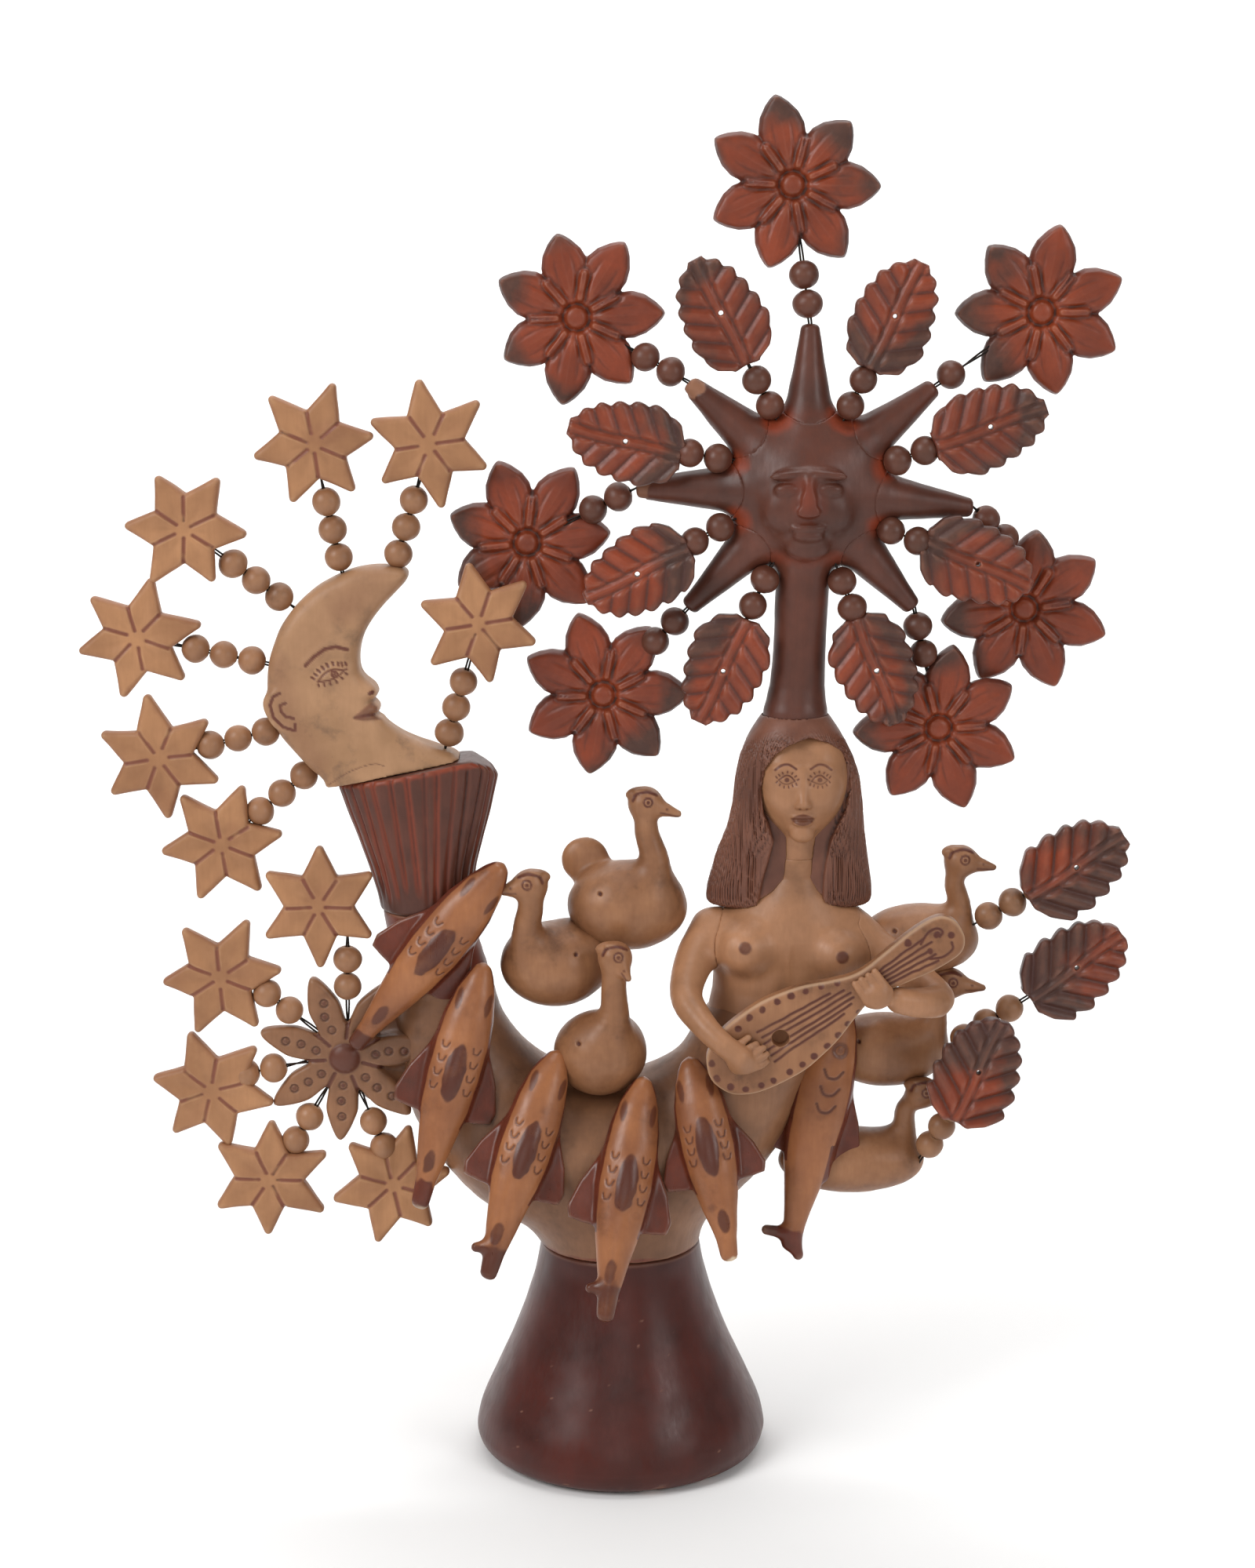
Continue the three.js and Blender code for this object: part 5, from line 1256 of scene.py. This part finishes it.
# ---------------------------------------------------------------- hair
HAIR_Z = [293, 298, 304, 321, 334, 347, 360, 372, 380, 386, 390, 393, 395]
HAIR_X = [86.5, 86.6, 86.8, 88, 89.5, 90.5, 90.5, 89.6, 89.0, 88.7, 88.6, 88.6, 88.6]
HAIR_Y = [4, 4, 4, 4, 2, 1, 1, 0, 0, 0, 0, 0, 0]
HAIR_W = [42, 42.8, 42.4, 38.9, 35.4, 33.4, 32, 29, 25.4, 22.0, 19.4, 17.4, 16.4]
HAIR_D = [18.5, 19.5, 20, 20.5, 21.8, 24, 25.4, 25.2, 23.4, 20.6, 18.2, 16.2, 15.0]
HAIR_MIDDLE = [292, 310, 330, 352, 384], [86, 88, 92, 93.5, 95]
HAIR_OPEN = ([292, 303, 318, 330, 338, 346, 358, 368, 376, 381, 384, 386],
             [16.2, 16.0, 14.6, 14.2, 17.2, 20.6, 22.2, 21.0, 16.5, 9.5, 1, -8])
HAIR_TENON_Z = [380, 386, 390, 393, 397]


def hair():
    clay = Clay((38, -38, 292), (134, 40, 397), 0.7, 6)
    x, y, z = clay.grids()
    clay.loft(HAIR_Z, HAIR_X, HAIR_Y, HAIR_W, HAIR_D)
    clay.keep(z - 394.4, 1.2)
    opening = np.maximum(np.abs(x - np.interp(z, *HAIR_MIDDLE)) - np.interp(z, *HAIR_OPEN), y + 11.5)
    clay.keep(-opening, 2.6)
    room = torso(clay.blank(), 0.2)
    room.add(egg(FACE + vec(0, 2, 2), (22.8, 20.3, 28.8)), 0)
    room.loft(HAIR_TENON_Z, STALK_X[:5], [0] * 5, [14.3, 14.9, 15.7, 16.5, 16.3], [12.9, 13.5, 14.3, 15.1, 14.9], 1)
    clay.keep(-room.field)
    points, quads, normal = clay.skin()
    level = points[:, 2]
    phi = np.arctan2(points[:, 1] - 2, points[:, 0] - 88)

    def wave(turns, height, seed):
        return grain(np.stack([phi * turns, level / height, 0 * phi], 1), 1, seed)

    wander = phi * 27 + 0.5 * wave(2.5, 38, 3)
    lock = (1 - np.abs((wander * 1.15) % 1 - 0.5) * 2) ** 2
    fine = 1 - np.abs((wander * 2.9 + 0.4 * wave(5, 24, 5)) % 1 - 0.5) * 2
    outer = ramp(np.hypot((points[:, 0] - 88) / 32, points[:, 1] / 24), 0.72, 0.85) * fade(level, 380, 392)
    points = raised(points, normal, 0.3 * grain(points, 14, 7) - outer * (0.75 * lock + 0.3 * fine))
    publish("hair", points, quads, HAIR, ink=0.35 * outer * lock,
            slip=0.3 * ramp(grain(points, (9, 9, 34), 9), -0.3, 0.8) * outer, size=0.6, sharp=60)


hair()

# ---------------------------------------------------------------- guitar
GUITAR_RUNS = np.array([0, 0.015, 0.05, 0.13, 0.28, 0.42, 0.53, 0.6, 0.66, 0.74, 0.86, 0.95, 0.99]) * GUITAR_LENGTH
GUITAR_RISES = np.array([0, 8, 14, 19, 21, 17.5, 11.5, 8.2, 7.8, 9.5, 11.8, 11.2, 6.5])
GUITAR_CURLS = [smooth_path([(126, 4), (132, 7), (137, 6.6), (138.5, 3.5), (136, 2.2)], 18),
                smooth_path([(126, -5), (132, -7.6), (138, -6.8), (139.5, -3.5)], 18)]
GUITAR_DOTS = [(88, 4), (88, 0.5), (88, -3), (135.5, 3.9), (128, -1.5), (141, 0), (121, 8)]
SOUND_HOLE, SOUND_HOLE_R = 41, 4.4


def guitar():
    clay = Clay((-3, -24, -7), (GUITAR_LENGTH + 3, 24, 8), 0.5, 4)
    rim = smooth_path(np.vstack([np.stack([GUITAR_RUNS, GUITAR_RISES], 1), [(GUITAR_LENGTH, 0)],
                                 np.stack([GUITAR_RUNS, -GUITAR_RISES], 1)[:0:-1]]), 220, closed=True)
    edge = outline_distance(*clay.plane(), rim)
    clay.press(edge, 5.0 - 0.5 * fade(-edge, 0.6, 2.2), 4.8, 1.6)
    clay.dent(cone((SOUND_HOLE, 0, -12), (SOUND_HOLE, 0, 12), SOUND_HOLE_R, SOUND_HOLE_R), 0.8)
    points, quads, normal = clay.skin()
    front = ramp(normal[:, 2], 0.2, 0.6)
    flat = points[:, :2]
    rng = np.random.default_rng(4)
    strings = []
    t = np.linspace(0, 1, 12)
    for rise in (-8.5 + 3.5 * k for k in range(6)):
        wobble = np.cumsum(rng.normal(size=12)) * 0.16
        run = 31 + 3 * rng.random() + (51 - 0.12 * rise**2) * t
        strings.append(np.stack([run, rise * (1 - 0.28 * t) + wobble], 1))
    t = np.linspace(0, 1, 9)
    for rise in (-6.4 + 2.7 * k for k in range(5)):
        run = 101 + (26 + 5 * rng.random()) * t
        strings.append(np.stack([run, rise * (0.75 + 0.5 * t) + 0.15 * rng.normal(size=9)], 1))
    lines = drawn(flat, strings, 1.35, 0.4)
    ink, groove = (np.maximum(lines, drawn(flat, GUITAR_CURLS, width)) for width in (1.3, 1.2))
    inset = smooth_path(rim[rim[:, 0] < 86] * (1, 0.83) + (2.4, 0), 27)
    dots = [p + rng.normal(size=2) * 0.3 for p in inset if p[0] < 84] + GUITAR_DOTS
    for p in dots:
        away = near(flat, [p])
        ink = np.maximum(ink, fade(away + 0.5 * grain(points, 3, 5), 1.5, 2.1))
        groove = np.maximum(groove, 0.7 * fade(away, 0.9, 1.6))
    points = raised(points, normal, 0.15 * grain(points, 9, 7) - 0.5 * groove * front)
    worn_edge = 0.5 * swell(outline_distance(*flat.T, rim) + 0.2, 0.7) * (points[:, 2] > 2)
    publish("guitar", at_place(points, GUITAR_END, GUITAR_SLOPE), quads, TAN, ink=ink * front, chip=worn_edge,
            size=0.6)


guitar()

# ---------------------------------------------------------------- stage, light and camera
FLOOR_FRONT, FLOOR_BACK, SWEEP_R, WALL_TOP, SWEEP_HALF = -3.0, 1.6, 1.2, 4.0, 5.0
AIM = Vector((AXIS + vec(3.6, 0, 356.8)) / 1000)
WALL_AIM = Vector((0.0, 2.4, 0.7))
LIGHTS = [("key", (-1.4, -1.2, 1.5), AIM, (0.9, 1.1), 25), ("fill", (1.5, -1.4, 1.1), AIM, (0.7, 1.0), 10),
          ("top", (0.1, -0.1, 2.1), AIM, (0.9, 0.9), 11), ("front", (0.0, -2.6, 0.9), AIM, (1.2, 1.0), 5),
          ("wall", (0.0, 1.2, 2.4), WALL_AIM, (3.0, 1.0), 55)]
CAMERA_FAR, CAMERA_UP = 1.6, math.radians(12)


def placed(name, data, place, aim):
    """Puts a light or the camera in the scene, looking at its aim."""
    thing = bpy.data.objects.new(name, data)
    thing.location = place
    thing.rotation_euler = (aim - Vector(place)).to_track_quat("-Z", "Y").to_euler()
    bpy.context.scene.collection.objects.link(thing)
    return thing


def backdrop():
    """A pale floor that runs up into a wall behind the object."""
    bends = np.linspace(0.1, math.pi / 2, 14)
    run = [(FLOOR_FRONT, 0.0), (FLOOR_BACK, 0.0)]
    run += [(FLOOR_BACK + SWEEP_R * math.sin(a), SWEEP_R - SWEEP_R * math.cos(a)) for a in bends]
    run += [(FLOOR_BACK + SWEEP_R, WALL_TOP)]
    points = [(x, y, z - 0.0005) for y, z in run for x in (-SWEEP_HALF, SWEEP_HALF)]
    faces = [(2 * i, 2 * i + 1, 2 * i + 3, 2 * i + 2) for i in range(len(run) - 1)]
    mesh = bpy.data.meshes.new("sweep")
    mesh.from_pydata(points, [], faces)
    mesh.shade_smooth()
    look = Look("sweep_paper")
    look.feed(look.shader.inputs["Base Color"], look.mix(look.noise(3, 2), colour("fafafa"), colour("f6f6f5")))
    look.shader.inputs["Roughness"].default_value = 0.9
    look.shader.inputs["Specular IOR Level"].default_value = 0.1
    mesh.materials.append(look.material)
    sweep = bpy.data.objects.new("sweep", mesh)
    bpy.context.scene.collection.objects.link(sweep)


backdrop()
for name, place, aim, size, watts in LIGHTS:
    lamp = bpy.data.lights.new(name, "AREA")
    lamp.shape, lamp.size, lamp.size_y, lamp.energy = "RECTANGLE", *size, watts
    placed(name, lamp, place, aim)
world = bpy.data.worlds.new("studio")
world.use_nodes = True
background = world.node_tree.nodes["Background"]
background.inputs["Color"].default_value = (1, 1, 1, 1)
background.inputs["Strength"].default_value = 0.3
bpy.context.scene.world = world
bpy.context.scene.view_settings.view_transform = "Standard"
lens = bpy.data.cameras.new("camera")
lens.lens, lens.sensor_width, lens.sensor_fit = 72.0, 36.0, "AUTO"
lens.clip_start, lens.clip_end = 0.05, 30
stand = AIM + Vector((0, -math.cos(CAMERA_UP), math.sin(CAMERA_UP))) * CAMERA_FAR
bpy.context.scene.camera = placed("camera", lens, stand, AIM)
